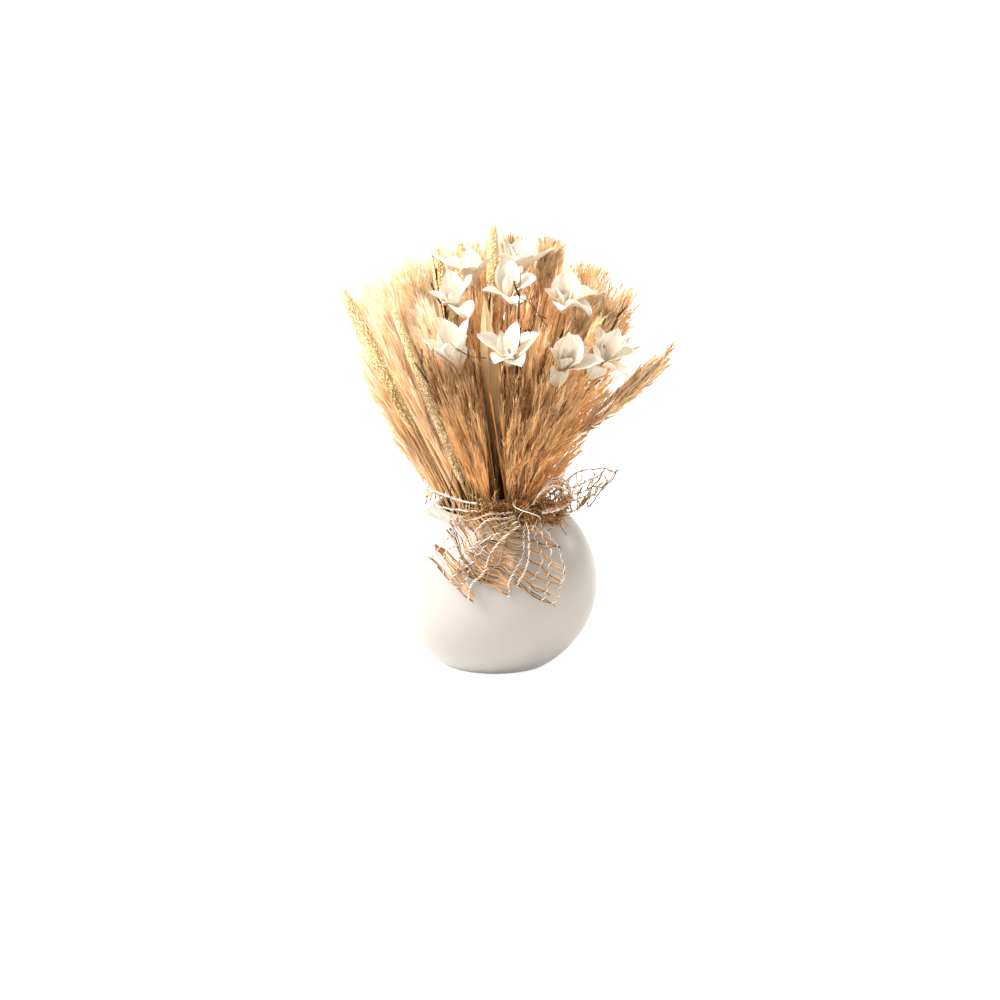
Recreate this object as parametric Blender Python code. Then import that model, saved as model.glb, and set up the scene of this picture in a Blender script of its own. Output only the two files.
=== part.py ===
"""A small bouquet of dried grasses, millet, leaves and shaved-wood flowers in a round ceramic vase.

The plants form a hand-tied spiral: every stem is a straight line from the vase's floor, through
one waist just above the rim, to its head. One rule, spread_at, opens the whole bunch with height,
so stems that are apart at the waist stay apart everywhere. Sizes are in millimetres, +Z is up,
+X is right, and the front of the bouquet faces -Y. The origin is the middle of the vase's foot.
"""

import cmath
import math

import bmesh
import bpy
from mathutils import Vector

MM = 0.001

# The vase: a ball a little wider than it is tall, cut flat at the foot and open at the top.
VASE_RADIUS = 47.5
VASE_HALF_HEIGHT = 44.7
VASE_CENTRE_Z = 38.0
VASE_RIM_Z = 75.0
VASE_WALL = 3.5
VASE_FLOOR_Z = 5.0
VASE_SIDES = 56

# The bunch: all stems cross the waist plane, and the bunch opens and turns above and below it.
WAIST_Z = 78.0
FLARE = 0.0215
SWIRL = -0.0100
STEM_FOOT_Z = VASE_FLOOR_Z + 0.4
STEM_RADIUS = 0.62

# The grass that fills the bunch: it ends on a dome, highest at the middle and back.
DOME_TOP_Z = 190.0
DOME_FALL = 0.0057
DOME_LEAN = 0.28
BUNCH_RADIUS = 20.4
PLACE_RINGS = 20
PLACES_PER_RING = 4
GRASS_NODES = 26
GRASS_START_Z = 82.0
# The widest that a head may be, and the share of the way to its neighbour that it may take.
FEATHER_RADIUS = 8.6
REED_RADIUS = 7.8
HALF_WAY = 0.47
# Feather grass grows where x + FEATHER_TURN * y, in the waist plane, is below FEATHER_EDGE.
FEATHER_TURN = 0.35
FEATHER_EDGE = -3.0

# The shaved-wood flowers, each a cup of pointed petals on a stick.
PETALS = 6
PETAL_LENGTH = 17.0
CUP_RADIUS = 11.2
PETAL_THICKNESS = 0.9
CALYX_BELOW = PETAL_LENGTH * 0.55
# Grass keeps this gap to a cup, which counts from CUP_START below its head. Grass that stands
# nearer than CLEAR_OF_FLOWER to a flower's middle ends below that flower.
GAP_TO_FLOWER = 0.9
CUP_START = 13.0
CLEAR_OF_FLOWER = 15.0
GRASS_BELOW_FLOWER = 15.0

# Every plant that is placed by hand: name, then its place in the waist plane and its head's height.
FLOWERS = (
    ("flower_top_left", complex(-4.2, -6.0), 177.0),
    ("flower_front_left", complex(-2.5, -15.0), 158.0),
    ("flower_front_centre", complex(6.5, -14.5), 160.0),
    ("flower_front_right", complex(15.0, -9.0), 153.5),
    ("flower_right", complex(19.8, -1.2), 151.5),
    ("flower_top_centre", complex(3.0, -3.5), 181.5),
    ("flower_top_right", complex(10.2, 0.3), 176.5),
    ("flower_back_right", complex(1.8, 4.6), 187.5),
    ("flower_back_left", complex(-4.4, 3.4), 184.0),
)
MILLETS = (  # then the spike's length and its radius
    ("millet_far_left", complex(-19.8, -8.0), 177.0, 68.0, 4.4),
    ("millet_left", complex(-11.2, -12.6), 173.0, 90.0, 2.5),
    ("millet_top", complex(-3.0, 8.3), 199.0, 34.0, 3.0),
    ("millet_top_left", complex(-9.2, 3.6), 190.0, 40.0, 3.4),
    ("millet_back", complex(-7.6, 8.6), 190.0, 40.0, 3.4),
)
BUNNY_TAILS = (
    ("bunny_tail_top", complex(4.6, 8.3), 199.0, 34.0, 5.4),
    ("bunny_tail_right", complex(12.6, 4.6), 182.0, 36.0, 5.2),
    ("bunny_tail_far_right", complex(15.8, 8.6), 172.0, 36.0, 5.2),
    ("bunny_tail_left", complex(-9.2, -6.4), 188.0, 44.0, 5.4),
    ("bunny_tail_back", complex(-1.6, 12.8), 195.0, 30.0, 5.2),
)
LEAVES = (  # then the blade's length and its width
    ("leaf_centre", complex(1.6, -9.6), 181.0, 96.0, 9.0),
    ("leaf_inner", complex(8.4, -5.6), 171.0, 60.0, 7.0),
    ("leaf_front_right", complex(17.0, -14.0), 143.0, 50.0, 6.0),
)
LEAF_THICKNESS = 1.0
TWIGS = (  # then where the fork leaves the main stick and how far it spreads
    ("twig_left", complex(-7.6, -17.6), 160.0, 134.0, 4.0),
    ("twig_top_left", complex(-8.0, -1.2), 191.0, 176.0, 4.0),
    ("twig_right", complex(18.2, 4.2), 174.0, 152.0, -4.5),
    ("twig_centre", complex(7.0, -9.8), 194.0, 174.0, 4.0),
)
TWIG_RADIUS = 0.6

# The plume that leans out of the bunch at the right: it leaves its straight stem at LEAN_START_Z.
PLUME_WAIST = complex(20.4, -6.4)
LEAN_START_Z = 106.0
PLUME_BEND = (Vector((44.5, -20.0, 124.0)), Vector((63.0, -23.0, 142.0)))
PLUME_TIP = Vector((82.5, -25.0, 156.5))
PLUME_FULLNESS = 4.6

# The jute net ribbon: a band over the rim, a knot in front, one loop and three tails.
BAND_LOW_Z = 72.3
BAND_HEIGHT = 14.0
BAND_LOW_RADIUS = 32.4
BAND_TOP_RADIUS = 29.8
BAND_THICKNESS = 1.6
BAND_STEPS = 40
KNOT_CENTRE = Vector((14.3, -35.7, 80.6))
KNOT_RADII = Vector((5.8, 6.2, 5.4))
RIBBON_THICKNESS = 1.4
# Each station of a strip: a point of its middle line, and the way from there to one edge.
LOOP_STATIONS = (
    ((18.0, -38.0, 85.4), (0.6, 3.2, 0.3)),
    ((22.0, -41.2, 92.0), (1.0, 4.4, 0.5)),
    ((27.5, -41.8, 95.8), (0.6, 4.8, 0.8)),
    ((33.0, -40.6, 93.6), (-0.4, 4.8, 0.8)),
    ((34.6, -39.8, 88.2), (-0.8, 4.6, 0.5)),
    ((29.6, -40.2, 84.6), (-0.4, 4.2, 0.2)),
    ((21.4, -39.2, 82.0), (0.2, 3.2, 0.2)),
)
TAIL_UP_RIGHT_STATIONS = (
    ((21.2, -33.4, 79.2), (0.2, 0.4, 3.0)),
    ((31.0, -32.4, 83.6), (-2.2, -0.6, 6.4)),
    ((40.0, -30.4, 87.4), (-3.2, -1.2, 8.6)),
    ((49.0, -27.8, 91.0), (-3.2, -1.6, 9.6)),
    ((56.0, -25.0, 93.4), (-2.6, -1.8, 10.0)),
)
TAIL_DOWN_RIGHT_STATIONS = (
    ((17.0, -39.9, 76.4), (3.2, 0.6, 0.6)),
    ((20.4, -45.4, 68.4), (8.0, 1.6, 1.4)),
    ((21.4, -48.2, 59.0), (10.6, 3.0, 2.0)),
    ((20.8, -50.2, 49.4), (12.0, 3.6, 2.8)),
    ((18.8, -51.2, 41.4), (12.6, 4.0, 3.2)),
)
TAIL_DOWN_LEFT_STATIONS = (
    ((9.8, -39.6, 78.4), (1.8, -0.8, -2.4)),
    ((2.6, -44.2, 72.4), (5.0, -1.4, -6.0)),
    ((-5.0, -46.8, 64.8), (7.4, -2.0, -8.4)),
    ((-13.4, -48.0, 57.0), (8.6, -2.4, -9.6)),
    ((-20.8, -48.2, 50.0), (9.2, -2.6, -10.2)),
)


def spread_at(height):
    """How the bunch's cross-section is scaled and turned at this height, as one complex number."""
    above_waist = height - WAIST_Z
    return complex(1.0 + FLARE * above_waist, SWIRL * above_waist)


def on_stem(waist, height):
    """The point of the stem through this place in the waist plane."""
    across = waist * spread_at(height)
    return Vector((across.real, across.imag, height))


def material(name, colour, roughness):
    made = bpy.data.materials.get(name)
    if made is None:
        made = bpy.data.materials.new(name)
        made.use_nodes = True
        shader = made.node_tree.nodes["Principled BSDF"]
        shader.inputs["Base Color"].default_value = (*colour, 1.0)
        shader.inputs["Roughness"].default_value = roughness
        shader.inputs["Metallic"].default_value = 0.0
    return made


def ceramic():
    return material("matt_white_ceramic", (0.82, 0.80, 0.77), 0.45)


def shaved_wood():
    return material("shaved_wood", (0.87, 0.80, 0.68), 0.8)


def straw_gold():
    return material("straw_gold", (0.66, 0.42, 0.19), 0.85)


def reed_tan():
    return material("reed_tan", (0.56, 0.32, 0.14), 0.85)


def millet_cream():
    return material("millet_cream", (0.83, 0.64, 0.36), 0.8)


def bunny_beige():
    return material("bunny_beige", (0.80, 0.60, 0.40), 0.9)


def dry_leaf():
    return material("dry_leaf", (0.58, 0.42, 0.20), 0.7)


def twig_brown():
    return material("twig_brown", (0.25, 0.13, 0.07), 0.8)


def jute():
    return material("jute", (0.52, 0.33, 0.18), 0.9)


def add_object(name, mesh, finish):
    mesh.materials.append(finish)
    thing = bpy.data.objects.new(name, mesh)
    bpy.context.scene.collection.objects.link(thing)
    return thing


def object_of(name, built, finish, smooth_below=40.0):
    """A mesh object from a bmesh in millimetres, its faces turned outwards and its curves smooth."""
    bmesh.ops.recalc_face_normals(built, faces=built.faces)
    bmesh.ops.scale(built, vec=(MM, MM, MM), verts=built.verts)
    mesh = bpy.data.meshes.new(name)
    built.to_mesh(mesh)
    built.free()
    mesh.shade_smooth()
    mesh.set_sharp_from_angle(angle=math.radians(smooth_below))
    return add_object(name, mesh, finish)


def loft(name, rings, finish, closed_path=False, smooth_below=40.0):
    """A solid through rings of the same number of points, capped at both ends or run round."""
    built = bmesh.new()
    loops = [[built.verts.new(point) for point in ring] for ring in rings]
    pairs = list(zip(loops, loops[1:]))
    if closed_path:
        pairs.append((loops[-1], loops[0]))
    else:
        built.faces.new(loops[0])
        built.faces.new(loops[-1])
    for low, high in pairs:
        for i in range(len(low)):
            j = (i + 1) % len(low)
            built.faces.new((low[i], low[j], high[j], high[i]))
    return object_of(name, built, finish, smooth_below)


def stalk(name, points, radii, finish, sides_beyond_four=2):
    """A round stalk or head: a curve through the points, as thick as the radii say."""
    curve = bpy.data.curves.new(name, "CURVE")
    curve.dimensions = "3D"
    curve.bevel_depth = MM
    curve.bevel_resolution = sides_beyond_four
    curve.use_fill_caps = True
    line = curve.splines.new("POLY")
    line.points.add(len(points) - 1)
    for knot, point, radius in zip(line.points, points, radii):
        knot.co = (*(point * MM), 1.0)
        knot.radius = radius
    return add_object(name, curve, finish)


def ring_angles(count):
    return [math.tau * i / count for i in range(count)]


def frame_round(direction):
    """Two unit vectors across a direction; the second one points away from the bunch's axis."""
    side = direction.cross(Vector((0.0, 0.0, 1.0)))
    side = side.normalized() if side.length > 1e-6 else Vector((1.0, 0.0, 0.0))
    return side, side.cross(direction).normalized()


# ---------------------------------------------------------------- vase


def wall_point(angle):
    """A point (radius, height) of the vase's outer wall and the wall's outward normal there."""
    point = Vector((VASE_RADIUS * math.cos(angle), VASE_CENTRE_Z + VASE_HALF_HEIGHT * math.sin(angle)))
    normal = Vector((math.cos(angle) / VASE_RADIUS, math.sin(angle) / VASE_HALF_HEIGHT)).normalized()
    return point, normal


def vase_profile():
    """The cut outline of the vase from the middle of the foot to the middle of the floor inside."""
    outer_steps, lip_steps, inner_steps = 15, 4, 10
    foot_angle = math.asin(-VASE_CENTRE_Z / VASE_HALF_HEIGHT)
    rim_angle = math.asin((VASE_RIM_Z - 0.35 - VASE_CENTRE_Z) / VASE_HALF_HEIGHT)
    floor_angle = math.asin((VASE_FLOOR_Z + VASE_WALL * 0.8 - VASE_CENTRE_Z) / VASE_HALF_HEIGHT)
    profile = [Vector((0.0, 0.0))]
    for i in range(outer_steps + 1):
        angle = foot_angle + (rim_angle - foot_angle) * i / outer_steps
        profile.append(wall_point(angle)[0])
    rim, normal = wall_point(rim_angle)
    upwards = Vector((-normal.y, normal.x))
    middle = rim - normal * VASE_WALL / 2
    for i in range(1, lip_steps):
        turn = math.pi * i / lip_steps
        profile.append(middle + (normal * math.cos(turn) + upwards * math.sin(turn)) * VASE_WALL / 2)
    for i in range(inner_steps + 1):
        angle = rim_angle + (floor_angle - rim_angle) * i / inner_steps
        point, normal = wall_point(angle)
        profile.append(point - normal * VASE_WALL)
    profile.append(Vector((profile[-1].x - 3.0, VASE_FLOOR_Z)))
    profile.append(Vector((0.0, VASE_FLOOR_Z)))
    return profile


def build_vase():
    built = bmesh.new()
    corners = [built.verts.new((point.x, 0.0, point.y)) for point in vase_profile()]
    edges = [built.edges.new(pair) for pair in zip(corners, corners[1:])]
    bmesh.ops.spin(
        built,
        geom=corners + edges,
        cent=(0.0, 0.0, 0.0),
        axis=(0.0, 0.0, 1.0),
        angle=math.tau,
        steps=VASE_SIDES,
        use_merge=True,
    )
    bmesh.ops.remove_doubles(built, verts=built.verts, dist=0.01)
    object_of("vase", built, ceramic(), smooth_below=35.0)


# ---------------------------------------------------------------- plants on their straight stems


def stem_line(waist, head_low, head_top, shares):
    """The stem's foot, then points of the head at these shares of its length."""
    heights = [STEM_FOOT_Z, WAIST_Z] + [head_low + (head_top - head_low) * share for share in shares]
    return [on_stem(waist, height) for height in heights]


def build_head(name, waist, top_z, length, shape, finish):
    """A plant whose head follows its stem. shape lists (share of the length, radius)."""
    shares = [share for share, _ in shape]
    radii = [STEM_RADIUS, STEM_RADIUS] + [radius for _, radius in shape]
    points = stem_line(waist, top_z - length, top_z, shares)
    stalk(name, points, radii, finish)


def spike_shape(radius):
    """A millet spike: nearly as thick all along, with a blunt tip."""
    return (
        (0.0, STEM_RADIUS),
        (0.06, radius * 0.62),
        (0.3, radius),
        (0.7, radius * 0.92),
        (0.92, radius * 0.6),
        (1.0, radius * 0.2),
    )


def tuft_shape(radius):
    """A bunny tail: an egg of down."""
    return (
        (0.0, STEM_RADIUS),
        (0.1, radius * 0.6),
        (0.35, radius),
        (0.6, radius * 0.9),
        (0.85, radius * 0.5),
        (1.0, radius * 0.12),
    )


def grass_shape(waist, waists, low_z, top_z, radius):
    """A grass head that widens as fast as the bunch opens, then comes to a tip."""
    shape = []
    for share, fullness in ((0.0, 0.75), (0.2, 0.95), (0.45, 1.0), (0.65, 1.0), (0.84, 0.8), (1.0, 0.12)):
        room = room_beside(waist, waists, low_z + (top_z - low_z) * share)
        shape.append((share, min(room, radius) * fullness))
    return shape


def dome_height(waist):
    """Where a filling grass ends: on the dome, but below any flower that stands over it."""
    height = DOME_TOP_Z
    for _ in range(4):
        tip = on_stem(waist, height)
        height = DOME_TOP_Z + DOME_LEAN * tip.y - DOME_FALL * (tip.x**2 + tip.y**2)
    for _, flower_waist, flower_z in FLOWERS:
        away = abs((waist - flower_waist) * spread_at(flower_z))
        if away < CLEAR_OF_FLOWER:
            height = min(height, flower_z - GRASS_BELOW_FLOWER)
    return height


def placed_waists():
    """The places in the waist plane that the plants placed by hand take up."""
    rows = FLOWERS + MILLETS + BUNNY_TAILS + LEAVES + TWIGS
    return [row[1] for row in rows] + [PLUME_WAIST]


def grass_waists():
    """Places for the filling grass: each goes where the bunch is still the emptiest."""
    places = []
    for ring in range(1, PLACE_RINGS + 1):
        radius = BUNCH_RADIUS * ring / PLACE_RINGS
        places += [cmath.rect(radius, turn) for turn in ring_angles(PLACES_PER_RING * ring)]
    taken = placed_waists()
    found = []
    for _ in range(GRASS_NODES):
        emptiest = max(places, key=lambda place: min(abs(place - other) for other in taken))
        taken.append(emptiest)
        found.append(emptiest)
    return found


def room_beside(waist, waists, height):
    """How thick a grass may be here: up to a bare stem or a flower, or half-way to a leafy neighbour."""
    spread = abs(spread_at(height))
    room = abs(waist - PLUME_WAIST) * spread - 2.0 * STEM_RADIUS
    bare = [PLUME_WAIST]
    for _, flower_waist, flower_z in FLOWERS:
        bare.append(flower_waist)
        flower_radius = CUP_RADIUS + GAP_TO_FLOWER if height > flower_z - CUP_START else 2.0 * STEM_RADIUS
        room = min(room, abs(waist - flower_waist) * spread - flower_radius)
    leafy = [abs(waist - other) for other in waists if other != waist and other not in bare]
    return min(room, min(leafy) * spread * HALF_WAY)


def build_grasses():
    """Feather grass on the left and at the back, reed grass in front and on the right."""
    feathers = reeds = 0
    found = grass_waists()
    waists = found + placed_waists()
    for waist in found:
        top_z = dome_height(waist)
        is_feather = waist.real + FEATHER_TURN * waist.imag < FEATHER_EDGE
        if is_feather:
            feathers += 1
            name, finish, radius = f"feather_grass_{feathers:02d}", straw_gold(), FEATHER_RADIUS
        else:
            reeds += 1
            name, finish, radius = f"reed_grass_{reeds:02d}", reed_tan(), REED_RADIUS
        shape = grass_shape(waist, waists, GRASS_START_Z, top_z, radius)
        build_head(name, waist, top_z, top_z - GRASS_START_Z, shape, finish)


def build_leaf(name, waist, top_z, length, width):
    """A flat dry blade on its stem, facing outwards, widest above its middle."""
    foot = on_stem(waist, STEM_FOOT_Z)
    tip = on_stem(waist, top_z)
    side, outwards = frame_round((tip - foot).normalized())
    half = LEAF_THICKNESS / 2
    stations = [(STEM_FOOT_Z, STEM_RADIUS, STEM_RADIUS), (top_z - length, STEM_RADIUS, STEM_RADIUS)]
    for share, fullness in ((0.2, 0.45), (0.5, 0.8), (0.72, 1.0), (0.88, 0.62), (1.0, 0.06)):
        stations.append((top_z - length * (1.0 - share), width / 2 * fullness, half))
    rings = []
    for height, across, through in stations:
        centre = on_stem(waist, height)
        fold = outwards * across * 0.25
        rings.append(
            (
                centre + side * across - fold,
                centre + outwards * through,
                centre - side * across - fold,
                centre - outwards * through,
            )
        )
    loft(name, rings, dry_leaf(), smooth_below=60.0)


def build_twig(name, waist, top_z, fork_z, spread):
    """A thin stick with one fork; the fork is joined to the stick where it leaves it."""
    fork = on_stem(waist, fork_z)
    tip = on_stem(waist, top_z)
    side, _ = frame_round((tip - fork).normalized())
    main = [on_stem(waist, STEM_FOOT_Z), fork, tip + side * spread * 0.4]
    branch = [
        on_stem(waist, fork_z - 2.0),
        fork + (tip - fork) * 0.4 - side * spread * 0.7,
        fork + (tip - fork) * 0.8 - side * spread,
    ]
    branch_radii = [TWIG_RADIUS * taper for taper in (0.8, 0.7, 0.45)]
    stalk(name, main, (STEM_RADIUS, TWIG_RADIUS, TWIG_RADIUS * 0.55), twig_brown(), 1)
    stalk("fork_of_" + name, branch, branch_radii, twig_brown(), 1)
    join_pieces(name, "fork_of_" + name)


def join_pieces(name, other_name):
    """Unites two closed curves or meshes into one mesh body under the first one's name."""
    graph = bpy.context.evaluated_depsgraph_get()
    meshes = []
    for piece_name in (name, other_name):
        piece = bpy.data.objects[piece_name]
        meshes.append(bpy.data.meshes.new_from_object(piece.evaluated_get(graph)))
        bpy.data.objects.remove(piece)
    base = bpy.data.objects.new(name, meshes[0])
    added = bpy.data.objects.new(other_name, meshes[1])
    for thing in (base, added):
        bpy.context.scene.collection.objects.link(thing)
        welded = bmesh.new()
        welded.from_mesh(thing.data)
        bmesh.ops.remove_doubles(welded, verts=welded.verts, dist=0.001 * MM)
        welded.to_mesh(thing.data)
        welded.free()
    added.hide_render = True
    added.display_type = "WIRE"
    union = base.modifiers.new("joined", "BOOLEAN")
    union.operation = "UNION"
    union.object = added


# ---------------------------------------------------------------- flowers


# The cup's cross-section from its middle up the outer skin and down the inner one:
# (height as a share of a petal, radius as a share of the cup's, whether on the outer skin).
CUP_SKIN = (
    (0.0, 0.2, True),
    (0.22, 0.52, True),
    (0.6, 0.82, True),
    (1.0, 1.0, True),
    (1.0, 1.0, False),
    (0.5, 0.7, False),
    (0.2, 0.34, False),
)
# How full a petal is at its four corners round the cup: the notch, a side, the tip, a side.
PETAL_CORNERS = (0.0, 0.62, 1.0, 0.62)


def build_flower(name, waist, head_z):
    """A cup of pointed petals that are joined at their foot, on a stick."""
    foot = on_stem(waist, STEM_FOOT_Z)
    calyx = on_stem(waist, head_z - CALYX_BELOW)
    along = (calyx - foot).normalized()
    side, outwards = frame_round(along)
    turns = ring_angles(PETALS * len(PETAL_CORNERS))
    rays = [side * math.cos(turn) + outwards * math.sin(turn) for turn in turns]
    rings = [[end + ray * STEM_RADIUS for ray in rays] for end in (foot, calyx)]
    for up, wide, outer in CUP_SKIN:
        inset = 0.0 if outer else PETAL_THICKNESS
        ring = []
        for corner, ray in enumerate(rays):
            fullness = PETAL_CORNERS[corner % len(PETAL_CORNERS)]
            height = 1.0 + up * PETAL_LENGTH * (0.55 + 0.45 * fullness) + inset * 0.4
            radius = CUP_RADIUS * wide * (0.86 + 0.14 * fullness) - inset
            ring.append(calyx + along * height + ray * radius)
        rings.append(ring)
    loft(name, rings, shaved_wood(), smooth_below=50.0)


# ---------------------------------------------------------------- leaning plume


def build_leaning_plume():
    """One soft plume whose stem bends out of the bunch and carries its head low to the right."""
    points = [on_stem(PLUME_WAIST, height) for height in (STEM_FOOT_Z, WAIST_Z, LEAN_START_Z)]
    points += [*PLUME_BEND, PLUME_TIP]
    head = smooth_points(points[2:], 10)
    radii = [STEM_RADIUS, STEM_RADIUS]
    for i in range(len(head)):
        share = i / (len(head) - 1)
        radii.append(STEM_RADIUS + PLUME_FULLNESS * math.sin(math.pi * min(share, 0.97) ** 1.15))
    stalk("leaning_plume", points[:2] + head, radii, reed_tan())


def smooth_points(points, count):
    """Points of one smooth curve through these, by Catmull-Rom between each two."""
    ends = [points[0] * 2 - points[1]] + list(points) + [points[-1] * 2 - points[-2]]
    found = []
    spans = len(points) - 1
    for i in range(count + 1):
        place = min(i * spans / count, spans - 1e-9)
        k = int(place)
        t = place - k
        a, b, c, d = ends[k : k + 4]
        bend = (a * 2 - b * 5 + c * 4 - d) * t**2 + (b * 3 - a - c * 3 + d) * t**3
        found.append((b * 2 + (c - a) * t + bend) * 0.5)
    return found


# ---------------------------------------------------------------- ribbon


def build_band():
    """The ribbon where it wraps the bunch: a leaning hoop that comes down over the rim."""
    rings = []
    for turn in ring_angles(BAND_STEPS):
        ray = Vector((math.cos(turn), math.sin(turn), 0.0))
        top = BAND_LOW_Z + BAND_HEIGHT * (0.86 - 0.14 * math.cos(turn))
        rings.append(
            (
                ray * BAND_LOW_RADIUS + Vector((0.0, 0.0, BAND_LOW_Z)),
                ray * (BAND_LOW_RADIUS + BAND_THICKNESS) + Vector((0.0, 0.0, BAND_LOW_Z)),
                ray * (BAND_TOP_RADIUS + BAND_THICKNESS) + Vector((0.0, 0.0, top)),
                ray * BAND_TOP_RADIUS + Vector((0.0, 0.0, top)),
            )
        )
    loft("ribbon_band", rings, jute(), closed_path=True)


def build_knot():
    built = bmesh.new()
    bmesh.ops.create_uvsphere(built, u_segments=12, v_segments=8, radius=1.0)
    bmesh.ops.scale(built, vec=KNOT_RADII, verts=built.verts)
    bmesh.ops.translate(built, vec=KNOT_CENTRE, verts=built.verts)
    object_of("ribbon_knot", built, jute())


def build_strip(name, stations):
    """A flat strip of ribbon through its stations, of one thickness."""
    middles = [Vector(middle) for middle, _ in stations]
    edges = [Vector(edge) for _, edge in stations]
    count = (len(stations) - 1) * 2
    middles = smooth_points(middles, count)
    edges = smooth_points(edges, count)
    rings = []
    for i, (middle, edge) in enumerate(zip(middles, edges)):
        along = middles[min(i + 1, count)] - middles[max(i - 1, 0)]
        through = along.cross(edge).normalized() * RIBBON_THICKNESS / 2
        left, right = middle - edge, middle + edge
        rings.append((right + through, right - through, left - through, left + through))
    loft(name, rings, jute())


def main():
    for thing in list(bpy.data.objects):
        bpy.data.objects.remove(thing)
    build_vase()
    for name, waist, head_z in FLOWERS:
        build_flower(name, waist, head_z)
    for name, waist, top_z, length, radius in MILLETS:
        build_head(name, waist, top_z, length, spike_shape(radius), millet_cream())
    for name, waist, top_z, length, radius in BUNNY_TAILS:
        build_head(name, waist, top_z, length, tuft_shape(radius), bunny_beige())
    for row in LEAVES:
        build_leaf(*row)
    for row in TWIGS:
        build_twig(*row)
    build_leaning_plume()
    build_grasses()
    build_band()
    build_knot()
    build_strip("ribbon_loop", LOOP_STATIONS)
    build_strip("ribbon_tail_up_right", TAIL_UP_RIGHT_STATIONS)
    build_strip("ribbon_tail_down_right", TAIL_DOWN_RIGHT_STATIONS)
    build_strip("ribbon_tail_down_left", TAIL_DOWN_LEFT_STATIONS)


main()
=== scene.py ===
import random
from math import asin, cos, pi, radians, sin, sqrt, tau

import bmesh
import bpy
from mathutils import Matrix, Vector, noise


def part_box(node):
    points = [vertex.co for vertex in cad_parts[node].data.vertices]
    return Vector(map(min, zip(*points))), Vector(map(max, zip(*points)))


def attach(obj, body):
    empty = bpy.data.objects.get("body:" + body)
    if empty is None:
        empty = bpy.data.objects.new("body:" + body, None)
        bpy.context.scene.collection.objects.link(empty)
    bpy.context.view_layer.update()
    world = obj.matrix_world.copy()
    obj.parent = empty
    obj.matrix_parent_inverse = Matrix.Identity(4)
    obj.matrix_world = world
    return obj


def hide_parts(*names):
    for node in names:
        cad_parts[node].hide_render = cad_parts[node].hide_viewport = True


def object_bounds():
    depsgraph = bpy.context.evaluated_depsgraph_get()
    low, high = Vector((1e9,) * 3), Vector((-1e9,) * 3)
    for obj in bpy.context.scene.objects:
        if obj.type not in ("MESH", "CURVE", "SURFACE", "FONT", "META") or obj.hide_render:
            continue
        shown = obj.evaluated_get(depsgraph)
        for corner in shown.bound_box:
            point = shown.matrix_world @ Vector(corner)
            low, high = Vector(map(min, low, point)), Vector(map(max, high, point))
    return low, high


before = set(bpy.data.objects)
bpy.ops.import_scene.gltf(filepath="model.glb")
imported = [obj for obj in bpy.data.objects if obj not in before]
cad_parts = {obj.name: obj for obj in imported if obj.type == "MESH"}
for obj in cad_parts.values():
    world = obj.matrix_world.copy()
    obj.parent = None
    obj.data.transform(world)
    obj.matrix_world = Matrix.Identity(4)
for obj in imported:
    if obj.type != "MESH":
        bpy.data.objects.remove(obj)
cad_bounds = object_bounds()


def nodes_named(start):
    return sorted(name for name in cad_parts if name.startswith(start))


# Everything is modelled in millimetres and made metres when a piece is finished.
MM = 0.001
UP = Vector((0.0, 0.0, 1.0))
GOLDEN_TURN = pi * (3.0 - sqrt(5.0))
CAMERA_TILT = radians(15.0)
RIM_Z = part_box("vase")[1][2] / MM
NECK_Z = RIM_Z + 2.0
# No loose hair goes past these: back, front and left.
REACH_BACK = max(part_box(node)[1][1] for node in nodes_named("reed_grass")) / MM + 2.0
REACH_FRONT = min(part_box(node)[0][1] for node in nodes_named("feather_grass")) / MM - 3.0
REACH_LEFT = cad_bounds[0][0] / MM


# ---- small shapes, and clumps of their copies


def mesh_of(name, built):
    mesh = bpy.data.meshes.new(name)
    built.to_mesh(mesh)
    built.free()
    return mesh


def put_in_scene(name, data):
    thing = bpy.data.objects.new(name, data)
    bpy.context.scene.collection.objects.link(thing)
    return thing


def tall(length, flat=1.0):
    return Matrix.Diagonal((1.0, flat, length, 1.0))


def raised_by(height, x=0.0):
    return Matrix.Translation((x, 0.0, height))


def leaning(turn, lean):
    return Matrix.Rotation(turn, 4, "Z") @ Matrix.Rotation(lean, 4, "X")


def square_to(axis):
    """Two directions square to an axis and to each other."""
    side = axis.orthogonal().normalized()
    return side, axis.cross(side)


def spoke(side, across, turn):
    return side * cos(turn) + across * sin(turn)


def cone(sides, tip, depth, cap_tris):
    """A closed cone of radius 1 whose narrow end is at 1 on +Z."""
    one = bmesh.new()
    bmesh.ops.create_cone(
        one, cap_ends=True, cap_tris=cap_tris, segments=sides, radius1=1.0, radius2=tip, depth=depth,
        matrix=raised_by(1.0 - depth / 2),
    )
    return one


def strand(sides, cuts, tip=0.06):
    """A straight tapered strand of length 1 and radius 1 along +Z."""
    one = cone(sides, tip, 1.0, False)
    if cuts:
        long_edges = [edge for edge in one.edges if abs(edge.verts[0].co.z - edge.verts[1].co.z) > 0.5]
        bmesh.ops.subdivide_edges(one, edges=long_edges, cuts=cuts)
    return one


def spindle():
    """A three-sided grain or hair pointed at both ends, of length 1 and radius 1 along +Z."""
    one = cone(3, 0.0, 0.65, True)
    for vert in one.verts:
        if vert.co.z < 0.9 and vert.co.x**2 + vert.co.y**2 < 0.1:
            vert.co.z = 0.0
    return one


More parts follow.
